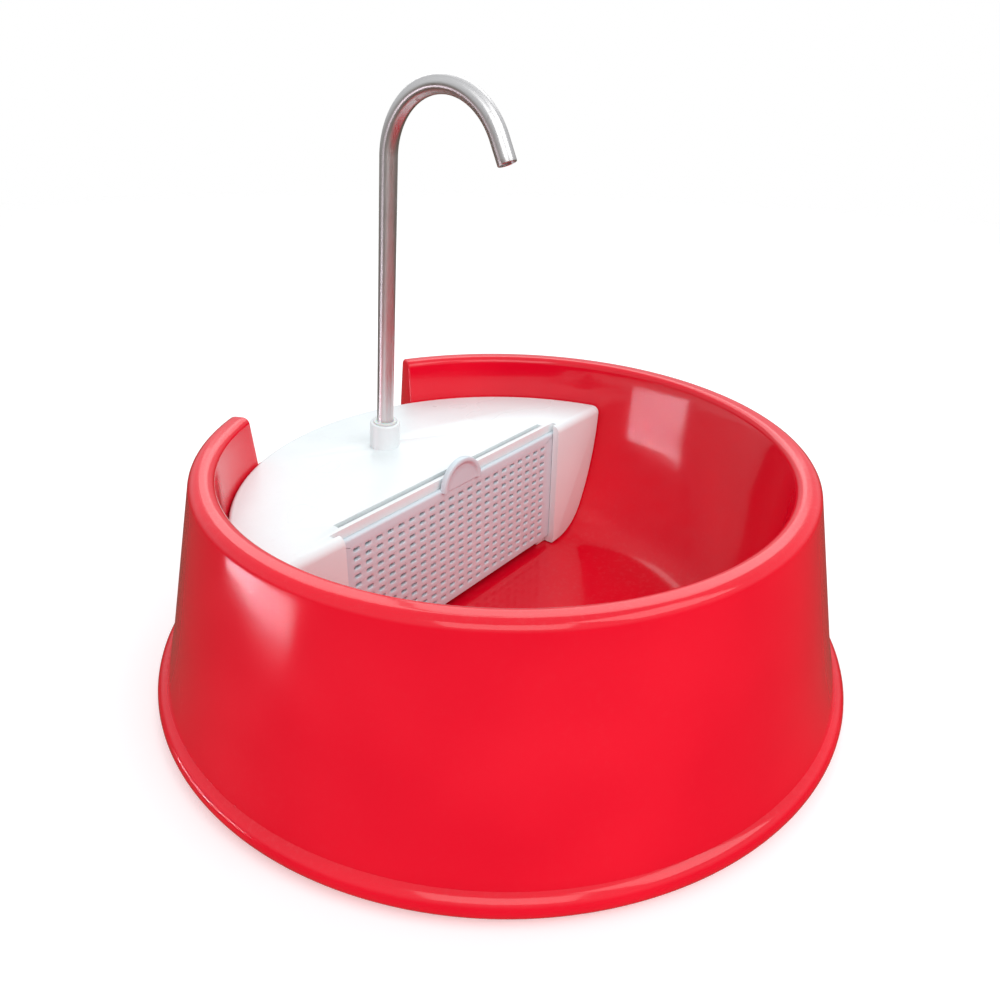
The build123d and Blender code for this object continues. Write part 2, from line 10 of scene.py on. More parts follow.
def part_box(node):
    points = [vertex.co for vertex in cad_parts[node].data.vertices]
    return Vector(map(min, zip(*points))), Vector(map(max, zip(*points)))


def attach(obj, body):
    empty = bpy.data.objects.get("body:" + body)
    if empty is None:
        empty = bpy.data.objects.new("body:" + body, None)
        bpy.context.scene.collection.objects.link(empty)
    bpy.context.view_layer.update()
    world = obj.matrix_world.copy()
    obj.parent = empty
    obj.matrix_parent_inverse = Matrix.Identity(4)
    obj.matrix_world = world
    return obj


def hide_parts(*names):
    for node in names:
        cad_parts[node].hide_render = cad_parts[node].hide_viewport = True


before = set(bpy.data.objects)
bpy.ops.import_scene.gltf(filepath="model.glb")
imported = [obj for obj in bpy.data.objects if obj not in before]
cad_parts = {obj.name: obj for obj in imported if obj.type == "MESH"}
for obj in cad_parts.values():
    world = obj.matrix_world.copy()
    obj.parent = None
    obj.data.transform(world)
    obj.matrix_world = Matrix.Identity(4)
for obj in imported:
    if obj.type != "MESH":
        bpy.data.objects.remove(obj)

bl_info = {
    "name": "Pet Drinking Fountain",
    "version": (1, 0, 0),
    "blender": (4, 5, 0),
    "location": "View3D > Sidebar > Fountain",
    "description": "Builds a pet drinking fountain around the packed model",
    "category": "Add Mesh",
}

MM = 0.001
WELD = 0.004 * MM  # points closer than this are one
FLAT = radians(0.4)  # folds flatter than this are taken out of the CAD meshes
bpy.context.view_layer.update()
LOW = {node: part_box(node)[0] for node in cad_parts}
HIGH = {node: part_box(node)[1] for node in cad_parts}


# ---------------------------------------------------------------- settings


def length(name, description, default):
    kind = {"unit": "LENGTH", "subtype": "DISTANCE"}
    return FloatProperty(name=name, description=description, default=default, **kind)


def rotation(name, description, default):
    return FloatProperty(name=name, description=description, default=default, subtype="ANGLE")


def colour(name, description, default):
    kind = {"size": 3, "min": 0, "max": 1, "subtype": "COLOR"}
    return FloatVectorProperty(name=name, description=description, default=default, **kind)


class BowlSettings(bpy.types.PropertyGroup):
    foot_radius: length("Foot radius", "Widest radius, at the bead round the foot", HIGH["bowl"].x)
    rim_height: length("Rim height", "Height of the rim above the floor", HIGH["bowl"].z)
    foot_gap: length("Foot gap", "Height of the foot bead above the floor", LOW["bowl"].z)
    wall: length("Wall", "Thickness of the moulding", 2.8 * MM)
    floor_height: length("Bowl floor", "Height of the bowl's inner floor", 6.3 * MM)
    notch_angle: rotation("Notch angle", "Angle from the back to each end of the notch", radians(25.8))
    notch_height: length("Notch height", "Height of the ledge in the notch", 56 * MM)
    edge: length("Edge rounding", "Rounding along the edges of the notch", 1.0 * MM)
    finish: colour("Bowl colour", "Colour of the bowl's plastic", (0.77, 0.002, 0.019))


class GrilleSettings(bpy.types.PropertyGroup):
    columns: IntProperty(name="Columns", description="Holes across the grille", default=21, min=1)
    rows: IntProperty(name="Rows", description="Holes up the grille", default=13, min=1)
    pitch_x: length("Pitch across", "Distance between holes across the grille", 5.95 * MM)
    pitch_z: length("Pitch up", "Distance between holes up the grille", 3.86 * MM)
    hole_width: length("Hole width", "End-to-end width of a hole", 3.3 * MM)
    hole_height: length("Hole height", "Height of a hole", 1.5 * MM)
    top_row: length("Top row", "Height of the top row of holes", 60.8 * MM)
    thickness: length("Thickness", "Thickness of the plate", 2.0 * MM)
    top: length("Plate top", "Height of the plate's top edge", 66.6 * MM)
    tab_radius: length("Tab radius", "Radius of the half-round finger tab", 12 * MM)
    tab_height: length("Tab base", "Height of the tab's straight edge", 65.4 * MM)
    tab_thickness: length("Tab thickness", "Thickness of the finger tab", 2.8 * MM)


class SpoutSettings(bpy.types.PropertyGroup):
    tube_radius: length("Tube radius", "Outer radius of the tube", 3.5 * MM)
    bore_radius: length("Bore radius", "Inner radius of the tube", 2.7 * MM)
    bend_radius: length("Bend radius", "Radius of the arch", 27.7 * MM)
    bend_angle: rotation("Bend angle", "Angle the arch turns through", radians(151.3))
    lean: rotation("Lean", "Lean of the tube towards the drinking side", radians(4.46))
    foot_y: length("Foot place", "Distance of the tube's foot behind the bowl's middle", 68 * MM)
    housing_top: length("Housing top", "Height of the housing's top face", 70.4 * MM)
    below: length("Length below", "Tube below the housing's top", 18 * MM)
    straight: length("Straight length", "Tube from the housing's top to the arch", 121.7 * MM)
    outlet: length("Outlet length", "Straight end of the tube after the arch", 8.7 * MM)


class FinishSettings(bpy.types.PropertyGroup):
    housing: colour("Housing", "Colour of the white plastic", (0.8, 0.86, 0.87))
    grille: colour("Grille", "Colour of the grille's plastic", (0.66, 0.76, 0.81))
    steel: colour("Steel", "Colour of the tube's steel", (0.72, 0.71, 0.71))
    pump: colour("Pump", "Colour of the pump's plastic", (0.022, 0.023, 0.026))
    silicone: colour("Silicone", "Colour of the hose, cups and seal", (0.72, 0.75, 0.75))
    floor: colour("Floor", "Colour of the floor", (0.86, 0.86, 0.86))


class StageSettings(bpy.types.PropertyGroup):
    camera_radius: length("Camera distance", "Level distance of the camera from the bowl's axis", 297.4 * MM)
    camera_height: length("Camera height", "Height of the camera above the floor", 221.1 * MM)
    camera_turn: rotation("Camera turn", "Turn of the camera round the bowl", radians(52.83))
    camera_pitch: rotation("Camera pitch", "Angle the camera looks down", 0.451)
    camera_roll: rotation("Camera roll", "Tilt of the camera about its own axis", 0.022)
    lens: FloatProperty(name="Lens", description="Focal length in millimetres", default=29.87)
    floor_radius: length("Floor radius", "Radius of the floor disc", 1.6)


class FountainSettings(bpy.types.PropertyGroup):
    bowl: PointerProperty(type=BowlSettings)
    grille: PointerProperty(type=GrilleSettings)
    spout: PointerProperty(type=SpoutSettings)
    finish: PointerProperty(type=FinishSettings)
    stage: PointerProperty(type=StageSettings)


def settings():
    return bpy.context.scene.fountain


# ---------------------------------------------------------------- outlines


def arc(start, heading, radius, sweep, steps):
    """Points after start along an arc that leaves it at heading and turns left for a positive sweep."""
    turn = copysign(1, sweep)
    centre = (start[0] - turn * radius * sin(heading), start[1] + turn * radius * cos(heading))
    points = []
    for step in range(1, steps + 1):
        angle = heading + sweep * step / steps
        points.append((centre[0] + turn * radius * sin(angle), centre[1] - turn * radius * cos(angle)))
    return points


def arc_to(start, heading, end, steps):
    """Points after start along the arc that leaves it at heading and ends at end."""
    chord = atan2(end[1] - start[1], end[0] - start[0])
    bend = chord - heading
    radius = hypot(end[0] - start[0], end[1] - start[1]) / (2 * abs(sin(bend)))
    return arc(start, heading, radius, 2 * bend, steps)


def line(start, end, steps):
    """Points after start along a straight line to end."""
    points = []
    for step in range(1, steps + 1):
        share = step / steps
        points.append((start[0] + share * (end[0] - start[0]), start[1] + share * (end[1] - start[1])))
    return points


# ---------------------------------------------------------------- meshes


def shade(mesh, angle=35):
    mesh.shade_smooth()
    mesh.set_sharp_from_angle(angle=radians(angle))


def linked(name, data):
    """A new object in the scene."""
    made = bpy.data.objects.new(name, data)
    bpy.context.scene.collection.objects.link(made)
    return made


def new_piece(name, mesh, finish, body, stands_for=(), angle=35):
    """Links a mesh as a piece of this finish that rides on a body."""
    mesh.name = name
    mesh.materials.clear()
    mesh.materials.append(bpy.data.materials[finish])
    shade(mesh, angle)
    piece = linked(name, mesh)
    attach(piece, body)
    if stands_for:
        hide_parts(*stands_for)
    return piece


def mesh_from(verts, faces):
    """A mesh from points and faces, with its doubles merged and its normals turned out."""
    mesh = bpy.data.meshes.new("build")
    mesh.from_pydata([tuple(v) for v in verts], [], faces)
    shell = bmesh.new()
    shell.from_mesh(mesh)
    bmesh.ops.remove_doubles(shell, verts=shell.verts, dist=WELD)
    bmesh.ops.recalc_face_normals(shell, faces=shell.faces)
    shell.to_mesh(mesh)
    shell.free()
    return mesh


def grid_faces(rows, columns, closed=False, start=0):
    """Quads between rows of points; closed joins the last point of each row to its first."""
    faces = []
    for row in range(rows - 1):
        for column in range(columns if closed else columns - 1):
            a = start + row * columns + column
            b = start + row * columns + (column + 1) % columns
            faces.append((a, b, b + columns, a + columns))
    return faces


def finished(piece):
    """The plain mesh of an object with its modifiers applied; the object is removed."""
    graph = bpy.context.evaluated_depsgraph_get()
    mesh = bpy.data.meshes.new_from_object(piece.evaluated_get(graph), depsgraph=graph)
    bpy.data.objects.remove(piece)
    return mesh


def eased_copy(node, name, finish, body, edge=0.35 * MM, steps=2, angle=35):
    """Stands for a CAD node: the same shape with its sharp edges eased."""
    mesh = bpy.data.meshes.new("eased")
    shell = bmesh.new()
    shell.from_mesh(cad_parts[node].data)
    bmesh.ops.remove_doubles(shell, verts=shell.verts, dist=WELD / 2)
    bmesh.ops.dissolve_limit(shell, angle_limit=FLAT, verts=shell.verts, edges=shell.edges)
    shell.to_mesh(mesh)
    shell.free()
    if "custom_normal" in mesh.attributes:
        mesh.attributes.remove(mesh.attributes["custom_normal"])
    worker = linked("eased", mesh)
    bevel = worker.modifiers.new("Eased edges", "BEVEL")
    bevel.width = edge
    bevel.segments = steps
    bevel.limit_method = "ANGLE"
    bevel.angle_limit = radians(angle)
    bevel.miter_outer = "MITER_ARC"
    return new_piece(name, finished(worker), finish, body, [node], angle)


# ---------------------------------------------------------------- shader groups


def group(name, inputs, outputs):
    """A shader group with float inputs {name: default} and outputs; its tree, input and output nodes."""
    tree = bpy.data.node_groups.new(name, "ShaderNodeTree")
    for label, default in inputs.items():
        socket = tree.interface.new_socket(label, in_out="INPUT", socket_type="NodeSocketFloat")
        socket.default_value = default
    for label in outputs:
        tree.interface.new_socket(label, in_out="OUTPUT", socket_type="NodeSocketFloat")
    return tree, node(tree, "NodeGroupInput").outputs, node(tree, "NodeGroupOutput").inputs


def node(tree, kind, inputs=None, **values):
    """Adds a node, sets its values, and sets or links its inputs {socket: constant or output socket}."""
    made = tree.nodes.new(kind)
    for key, value in values.items():
        setattr(made, key, value)
    for key, value in (inputs or {}).items():
        if isinstance(value, bpy.types.NodeSocket):
            tree.links.new(value, made.inputs[key])
        else:
            made.inputs[key].default_value = value
    return made


def maths(tree, operation, a, b=0.0, clamp=False):
    return node(tree, "ShaderNodeMath", {0: a, 1: b}, operation=operation, use_clamp=clamp).outputs[0]


def remap(tree, value, low, high, new_low=0.0, new_high=1.0):
    inputs = {"Value": value, "From Min": low, "From Max": high, "To Min": new_low, "To Max": new_high}
    return node(tree, "ShaderNodeMapRange", inputs).outputs["Result"]


def product(tree, a, b, clamp=False):
    return maths(tree, "MULTIPLY", a, b, clamp)


def total(tree, a, b, clamp=False):
    return maths(tree, "ADD", a, b, clamp)


def object_place(tree):
    return node(tree, "ShaderNodeTexCoord").outputs["Object"]


def stretched(tree, vector, scale, turn=(0, 0, 0)):
    inputs = {"Vector": vector, "Scale": scale, "Rotation": turn}
    return node(tree, "ShaderNodeMapping", inputs).outputs["Vector"]


def noise(tree, vector, scale, detail=3.0, rough=0.55):
    inputs = {"Vector": vector, "Scale": scale, "Detail": detail, "Roughness": rough}
    return node(tree, "ShaderNodeTexNoise", inputs).outputs["Fac"]


def mould_group():
    """Surface of a moulded part: slow flow ripples and a fine grain."""
    inputs = {"Ripple Scale": 18, "Ripple": 1, "Grain Scale": 1600, "Grain": 0.05}
    tree, given, made = group("Moulded Surface", inputs, ["Height", "Tone"])
    place = object_place(tree)
    ripple = noise(tree, place, given["Ripple Scale"], 2)
    grain = noise(tree, place, given["Grain Scale"], 2, 0.6)
    slow = product(tree, ripple, given["Ripple"])
    fine = product(tree, grain, given["Grain"])
    tree.links.new(total(tree, slow, fine), made["Height"])
    tree.links.new(remap(tree, ripple, 0.35, 0.65), made["Tone"])


def scratch_group():
    """Hair-thin handling marks in two directions, gathered in patches."""
    tree, given, made = group("Handling Marks", {"Scale": 22, "Amount": 0.5}, ["Mask"])
    place = object_place(tree)
    lines = None
    for turn in ((0.3, 0.2, 0.9), (1.1, 0.7, 2.2)):
        streak = noise(tree, stretched(tree, place, (1, 38, 12), turn), given["Scale"], 1.5)
        near = maths(tree, "ABSOLUTE", maths(tree, "SUBTRACT", streak, 0.5))
        hair = remap(tree, near, 0.0, 0.006, 1.0, 0.0)
        lines = hair if lines is None else maths(tree, "MAXIMUM", lines, hair)
    patch = remap(tree, noise(tree, place, 14, 2), 0.5, 0.68)
    marks = product(tree, product(tree, lines, patch), given["Amount"], True)
    tree.links.new(marks, made["Mask"])


def dust_group():
    """Fine dust in patches on faces that look up."""
    tree, given, made = group("Settled Dust", {"Scale": 260, "Amount": 0.4}, ["Mask"])
    place = object_place(tree)
    facing = node(tree, "ShaderNodeNewGeometry").outputs["Normal"]
    upward = node(tree, "ShaderNodeSeparateXYZ", {0: facing}).outputs["Z"]
    up = remap(tree, upward, 0.1, 0.95)
    speck = remap(tree, noise(tree, place, given["Scale"], 4, 0.7), 0.5, 0.72)
    patch = remap(tree, noise(tree, place, 20, 2), 0.35, 0.7, 0.25, 1.0)
    mask = product(tree, product(tree, up, speck), patch)
    tree.links.new(product(tree, mask, given["Amount"], True), made["Mask"])


def edge_rub_and_highlight_group():
    """Rubbed places on outward edges; the bowl also lightens them as a painted highlight."""
    tree, given, made = group("Edge Rub and Highlight", {"Start": 0.53, "End": 0.62, "Amount": 0.5}, ["Mask"])
    place = object_place(tree)
    edge = node(tree, "ShaderNodeNewGeometry").outputs["Pointiness"]
    rise = remap(tree, edge, given["Start"], given["End"])
    broken = remap(tree, noise(tree, place, 190, 4, 0.7), 0.4, 0.65)
    mask = product(tree, product(tree, rise, broken), given["Amount"], True)
    tree.links.new(mask, made["Mask"])


def placed(tree, name, **inputs):
    """Places a shader group in a material with its own values."""
    made = node(tree, "ShaderNodeGroup")
    made.node_tree = bpy.data.node_groups[name]
    for key, value in inputs.items():
        made.inputs[key.replace("_", " ")].default_value = value
    return made


def blended(tree, share, a, b):
    """Mixes two colours, each a constant or an output socket."""
    mix = node(tree, "ShaderNodeMix", data_type="RGBA")
    for key, value in ((0, share), (6, a), (7, b)):
        if isinstance(value, bpy.types.NodeSocket):
            tree.links.new(value, mix.inputs[key])
        elif key == 0:
            mix.inputs[key].default_value = value
        else:
            mix.inputs[key].default_value = (*value, 1)
    return mix.outputs[2]


def shifted(rgb, factor):
    return tuple(min(1.0, channel * factor) for channel in rgb)


def base_material(name, **constants):
    """A material's tree and its Principled shader, with constants set on the shader's own sockets."""
    made = bpy.data.materials.new(name)
    made.use_nodes = True
    shader = made.node_tree.nodes["Principled BSDF"]
    for key, value in constants.items():
        shader.inputs[key.replace("_", " ")].default_value = value
    return made.node_tree, shader


def surfaced(tree, shader, tint, rough, height, strength, distance):
    """Links a material's colour, roughness and bump to its shader."""
    bump = node(tree, "ShaderNodeBump", {"Height": height, "Strength": strength, "Distance": distance})
    tree.links.new(tint, shader.inputs["Base Color"])
    if rough:
        tree.links.new(rough, shader.inputs["Roughness"])
    tree.links.new(bump.outputs["Normal"], shader.inputs["Normal"])


# ---------------------------------------------------------------- finishes


def bowl_plastic(rgb):
    """High-gloss moulded plastic with light rubbing on its edges, which are also lightened as a painted
    highlight, and a little dust.
    """
    tree, shader = base_material("Bowl plastic", Coat_Weight=0.2, Coat_Roughness=0.03, IOR=1.43)
    mould = placed(tree, "Moulded Surface", Ripple_Scale=14, Ripple=1.0, Grain_Scale=900, Grain=0.02)
    marks = placed(tree, "Handling Marks", Scale=20, Amount=0.5).outputs["Mask"]
    dust = placed(tree, "Settled Dust", Scale=420, Amount=0.03).outputs["Mask"]
    rub_and_highlight = placed(tree, "Edge Rub and Highlight", Start=0.52, End=0.6, Amount=0.22).outputs["Mask"]
    tone = blended(tree, mould.outputs["Tone"], shifted(rgb, 0.94), shifted(rgb, 1.04))
    # Painted highlight: the rubbed edges are lightened towards a highlight pink, as well as roughened as
    # wear below.
    rubbed_and_highlit = blended(tree, rub_and_highlight, tone, (0.95, 0.32, 0.36))
    dusty = blended(tree, dust, rubbed_and_highlit, (0.85, 0.6, 0.6))
    rough = remap(tree, mould.outputs["Tone"], 0, 1, 0.1, 0.17)
    rough = total(tree, rough, product(tree, marks, 0.25))
    rough = total(tree, rough, product(tree, rub_and_highlight, 0.8), True)
    height = maths(tree, "SUBTRACT", mould.outputs["Height"], product(tree, marks, 0.02))
    surfaced(tree, shader, dusty, rough, height, 0.25, 0.6 * MM)


def satin_plastic(name, rgb, roughness=0.34, grain=0.12, dust_amount=0.12):
    """Satin moulded plastic with a fine grain, soft handling marks and a trace of dust."""
    tree, shader = base_material(name, IOR=1.47)
    mould = placed(tree, "Moulded Surface", Ripple_Scale=26, Ripple=0.6, Grain_Scale=2400, Grain=grain)
    marks = placed(tree, "Handling Marks", Scale=26, Amount=0.35).outputs["Mask"]
    dust = placed(tree, "Settled Dust", Scale=500, Amount=dust_amount).outputs["Mask"]
    tone = blended(tree, mould.outputs["Tone"], shifted(rgb, 0.965), shifted(rgb, 1.01))
    dusty = blended(tree, dust, tone, (0.62, 0.6, 0.57))
    rough = remap(tree, mould.outputs["Tone"], 0, 1, roughness - 0.05, roughness + 0.06)
    rough = total(tree, rough, product(tree, marks, 0.25), True)
    height = maths(tree, "SUBTRACT", mould.outputs["Height"], product(tree, marks, 0.05))
    surfaced(tree, shader, dusty, rough, height, 0.3, 0.12 * MM)


def brushed_steel(rgb):
    """Drawn stainless tube: streaks along it from the piece's own map, and dull water spots."""
    drawn = {"Metallic": 1.0, "Anisotropic": 0.75, "Anisotropic_Rotation": 0.25}
    tree, shader = base_material("Brushed steel", **drawn)
    tangent = node(tree, "ShaderNodeTangent", direction_type="UV_MAP", uv_map="along")
    tree.links.new(tangent.outputs[0], shader.inputs["Tangent"])
    along = node(tree, "ShaderNodeUVMap", uv_map="along").outputs["UV"]
    streak = noise(tree, stretched(tree, along, (90, 3, 1)), 1.0, 4, 0.7)
    fine = noise(tree, stretched(tree, along, (420, 14, 1)), 1.0, 3, 0.6)
    place = object_place(tree)
    spots = remap(tree, noise(tree, place, 320, 2, 0.5), 0.66, 0.74)
    cloud = remap(tree, noise(tree, place, 45, 3), 0.3, 0.7)
    mixed = total(tree, product(tree, streak, 0.6), product(tree, fine, 0.4))
    tone = blended(tree, mixed, shifted(rgb, 0.74), shifted(rgb, 1.2))
    spotted = blended(tree, product(tree, spots, 0.3), tone, (0.66, 0.66, 0.64))
    rough = total(tree, remap(tree, mixed, 0.3, 0.7, 0.26, 0.38), product(tree, cloud, 0.06))
    rough = total(tree, rough, product(tree, spots, 0.2), True)
    surfaced(tree, shader, spotted, rough, mixed, 0.12, 0.05 * MM)


def soft_rubber(name, rgb, roughness, weight=0.0):
    """Silicone or rubber: matt, faintly mottled; weight lets light into pale silicone."""
    tree, shader = base_material(name, Subsurface_Weight=weight, Subsurface_Scale=2 * MM, IOR=1.41)
    mould = placed(tree, "Moulded Surface", Ripple_Scale=60, Ripple=0.5, Grain_Scale=1900, Grain=0.3)
    dust = placed(tree, "Settled Dust", Scale=600, Amount=0.25).outputs["Mask"]
    tone = blended(tree, mould.outputs["Tone"], shifted(rgb, 0.9), shifted(rgb, 1.06))
    dusty = blended(tree, dust, tone, (0.5, 0.49, 0.47))
    rough = remap(tree, mould.outputs["Tone"], 0, 1, roughness - 0.07, roughness + 0.07)
    surfaced(tree, shader, dusty, rough, mould.outputs["Height"], 0.35, 0.1 * MM)


def open_foam(name, rgb, cells):
    """Open-cell foam: pores of two sizes painted dark as shade, with struts between them painted pale as
    lit.
    """
    tree, shader = base_material(name, Roughness=0.95, Sheen_Weight=0.15)
    place = object_place(tree)
    inputs = {"Vector": place, "Scale": cells}
    pore = node(tree, "ShaderNodeTexVoronoi", inputs, feature="DISTANCE_TO_EDGE").outputs["Distance"]
    strut = remap(tree, pore, 0.02, 0.2, 1.0, 0.0)
    cloud = remap(tree, noise(tree, place, cells * 0.12, 3), 0.3, 0.7)
    tone = blended(tree, cloud, shifted(rgb, 0.7), shifted(rgb, 1.3))
    # Painted shade and light: the pores keep the dark foam colour as shade in the cells, and the struts are
    # painted paler as if lit.
    light = blended(tree, product(tree, strut, 0.6), tone, shifted(rgb, 4.0))
    surfaced(tree, shader, light, None, strut, 0.8, 0.25 * MM)


def ground_metal(name, rgb, metallic, roughness, layers=0.0):
    """Lacquered iron, sintered magnet or enamelled wire; layers draws laminations or turns."""
    tree, shader = base_material(name, Metallic=metallic)
    place = object_place(tree)
    mottle = noise(tree, place, 700, 4, 0.65)
    inputs = {"Vector": place, "Scale": layers, "Distortion": 0.4, "Detail": 1.0}
    wave = node(tree, "ShaderNodeTexWave", inputs, bands_direction="Z", wave_profile="TRI")
    mixed = product(tree, mottle, wave.outputs["Fac"]) if layers else mottle
    tone = blended(tree, mixed, shifted(rgb, 0.6), shifted(rgb, 1.3))
    rough = remap(tree, mottle, 0.3, 0.7, roughness - 0.08, roughness + 0.1)
    surfaced(tree, shader, tone, rough, mixed, 0.5, 0.15 * MM)


FLOOR_GLOW = 0.22
FLOOR_FADE = (0.45, 1.5)  # the floor fades out between these distances from the middle


def floor_finish(rgb):
    """Plain pale board with a barely seen mottle, fading into the white surroundings."""
    tree, shader = base_material("Pale floor", Roughness=0.7, Emission_Strength=FLOOR_GLOW)
    shader.inputs["Emission Color"].default_value = (1, 1, 1, 1)
    place = object_place(tree)
    cloud = noise(tree, place, 3.0, 3)
    tone = blended(tree, cloud, shifted(rgb, 0.99), shifted(rgb, 1.01))
    tree.links.new(tone, shader.inputs["Base Color"])
    away = node(tree, "ShaderNodeVectorMath", {0: place}, operation="LENGTH").outputs["Value"]
    fade = remap(tree, away, FLOOR_FADE[0], FLOOR_FADE[1], 1.0, 0.0)
    tree.links.new(fade, shader.inputs["Alpha"])


class FOUNTAIN_OT_finishes(bpy.types.Operator):
    """Make the finishes that the other steps use"""

    bl_idname = "fountain.finishes"
    bl_label = "Finishes"

    def execute(self, context):
        mould_group()
        scratch_group()
        dust_group()
        edge_rub_and_highlight_group()
        look = settings().finish
        bowl_plastic(settings().bowl.finish)
        satin_plastic("Housing plastic", look.housing, 0.32, 0.1)
        satin_plastic("Grille plastic", look.grille, 0.4, 0.16)
        satin_plastic("Pump plastic", look.pump, 0.45, 0.5, 0.3)
        satin_plastic("Filter plastic", shifted(look.pump, 1.3), 0.5, 0.4, 0.2)
        brushed_steel(look.steel)
        soft_rubber("Silicone", look.silicone, 0.42, 0.35)
        soft_rubber("Black rubber", (0.02, 0.02, 0.021), 0.7)
        open_foam("Carbon foam", (0.018, 0.018, 0.02), 900)
        open_foam("Intake foam", (0.035, 0.036, 0.04), 600)
        ground_metal("Laminated iron", (0.23, 0.23, 0.25), 0.8, 0.45, 480)
        ground_metal("Enamelled copper", (0.6, 0.17, 0.05), 0.9, 0.3, 700)
        ground_metal("Sintered magnet", (0.05, 0.05, 0.055), 0.3, 0.6)
        return {"FINISHED"}


# ---------------------------------------------------------------- bowl


WALL_DRAFT = radians(5.2)
BELLY_SWEEP = radians(21.5)
BELLY_RADIUS = 120 * MM
KNEE = (106.35 * MM, 62 * MM)
RIM_OUTER = 117.6 * MM
FLARE_START = (130.2 * MM, 32 * MM)
BEAD_TOP = (136.2 * MM, 10.4 * MM)
BEAD_HEIGHT = 5.2 * MM
INNER_ROUND = 3.0 * MM
OUTER_ROUND = 3.8 * MM
QUARTER = (0, pi / 8, pi / 4, 3 * pi / 8, pi / 2)
SKIRT_ROWS = (52, 47, 42, 37)  # heights of the skirt's rows below the ledge, in millimetres


def basin_points(floor_height, inset):
    """Half-section of the basin from the middle of its floor up to the knee of its wall."""
    turned = WALL_DRAFT + BELLY_SWEEP
    belly_end = KNEE[1] - BELLY_RADIUS * (sin(turned) - sin(WALL_DRAFT))
    corner = (belly_end - floor_height) / (1 - sin(turned))
    flat = KNEE[0] - BELLY_RADIUS * (cos(WALL_DRAFT) - cos(turned)) - corner * cos(turned)
    start = (flat, floor_height + inset)
    points = [(0, start[1]), *line((0, start[1]), start, 6)]
    points += arc(start, 0, corner - inset, pi / 2 - turned, 14)
    points += arc(points[-1], pi / 2 - turned, BELLY_RADIUS - inset, BELLY_SWEEP, 12)
    return points


def wall_at(height):
    """Point of the inner wall at this height: straight above the knee, on the belly's arc below it."""
    if height >= KNEE[1]:
        return (KNEE[0] + (height - KNEE[1]) * tan(WALL_DRAFT), height)
    middle = KNEE[0] - BELLY_RADIUS * cos(WALL_DRAFT)
    drop = KNEE[1] + BELLY_RADIUS * sin(WALL_DRAFT) - height
    return (middle + sqrt(BELLY_RADIUS**2 - drop**2), height)


def skirt_at(height):
    share = (FLARE_START[1] - height) / (settings().bowl.rim_height - FLARE_START[1])
    return (FLARE_START[0] + share * (FLARE_START[0] - RIM_OUTER), height)


def bowl_rows(size):
    """Rows of the bowl's half-section as (radius, height, share of the notch rounding, part)."""
    edge, ledge, rim = size.edge, size.notch_height, size.rim_height
    rounding = [(ledge - edge + edge * sin(a), 1 - cos(a), "ledge") for a in QUARTER]
    low = [p for p in basin_points(size.floor_height, 0) if p[1] < ledge - 2 * edge]
    rows = [(*p, 0.0, "low") for p in low]
    rows += [(*wall_at(height), share, part) for height, share, part in rounding]
    lean = atan2(FLARE_START[0] - RIM_OUTER, rim - FLARE_START[1])
    inner_foot = wall_at(rim - INNER_ROUND * (1 - sin(WALL_DRAFT)))
    horn = [wall_at(ledge + share * (KNEE[1] - ledge)) for share in (0.33, 0.67)]
    horn += [KNEE, *line(KNEE, inner_foot, 6)]
    horn += arc(inner_foot, pi / 2 - WALL_DRAFT, INNER_ROUND, -(pi / 2 - WALL_DRAFT), 7)
    outer_start = (RIM_OUTER - OUTER_ROUND * (cos(lean) - tan(lean) * (1 - sin(lean))), rim)
    horn += line(horn[-1], outer_start, 4)
    horn += arc(outer_start, 0, OUTER_ROUND, -(pi / 2 - lean), 8)
    horn += line(horn[-1], skirt_at(ledge), 8)[:-1]
    rows += [(*p, 1.0, "horn") for p in horn]
    rows += [(*skirt_at(height), share, part) for height, share, part in reversed(rounding)]
    low = [skirt_at(height * MM) for height in SKIRT_ROWS]
    heading = atan2(FLARE_START[1] - rim, FLARE_START[0] - RIM_OUTER)
    low += [FLARE_START, *arc_to(FLARE_START, heading, BEAD_TOP, 8)]
    toe = (BEAD_TOP[0] - 1.2 * MM, size.foot_gap)
    low += bead_points(size, toe)
    low += underside_points(size, toe)
    return rows + [(*p, 0.0, "low") for p in low]


def bead_points(size, toe):
    """The round bead from the skirt's crease to the toe, through the widest point."""
    ax, ay = BEAD_TOP
    bx, by = size.foot_radius, BEAD_HEIGHT
    cx, cy = toe
    d = 2 * (ax * (by - cy) + bx * (cy - ay) + cx * (ay - by))
    a, b, c = ax**2 + ay**2, bx**2 + by**2, cx**2 + cy**2
    ux = (a * (by - cy) + b * (cy - ay) + c * (ay - by)) / d
    uy = (a * (cx - bx) + b * (ax - cx) + c * (bx - ax)) / d
    radius = hypot(ax - ux, ay - uy)
    first = atan2(ay - uy, ax - ux)
    last = atan2(cy - uy, cx - ux)
    return arc(BEAD_TOP, first - pi / 2, radius, last - first, 16)


def underside_points(size, toe):
    """Inside of the skirt, the roof of the hollow wall and the basin's underside."""
    roof = size.notch_height - size.wall
    inside = (toe[0] - 2.6 * MM, size.foot_gap)
    points = [*line(toe, inside, 2), (inside[0] - 0.2 * MM, BEAD_TOP[1])]
    points.append((FLARE_START[0] - size.wall, FLARE_START[1]))
    points.append((skirt_at(roof)[0] - size.wall, roof))
    points.append((wall_at(roof)[0] + size.wall, roof))
    basin = [p for p in basin_points(size.floor_height, -size.wall) if p[1] < roof - 1 * MM]
    return points + basin[::-1]


def into_plastic(rows):
    """Unit vectors from each row into the plastic."""
    vectors = []
    for i in range(len(rows)):
        before, after = rows[max(i - 1, 0)], rows[min(i + 1, len(rows) - 1)]
        run, rise = after[0] - before[0], after[1] - before[1]
        size = hypot(run, rise) or 1
        vectors.append((rise / size, -run / size))
    return vectors


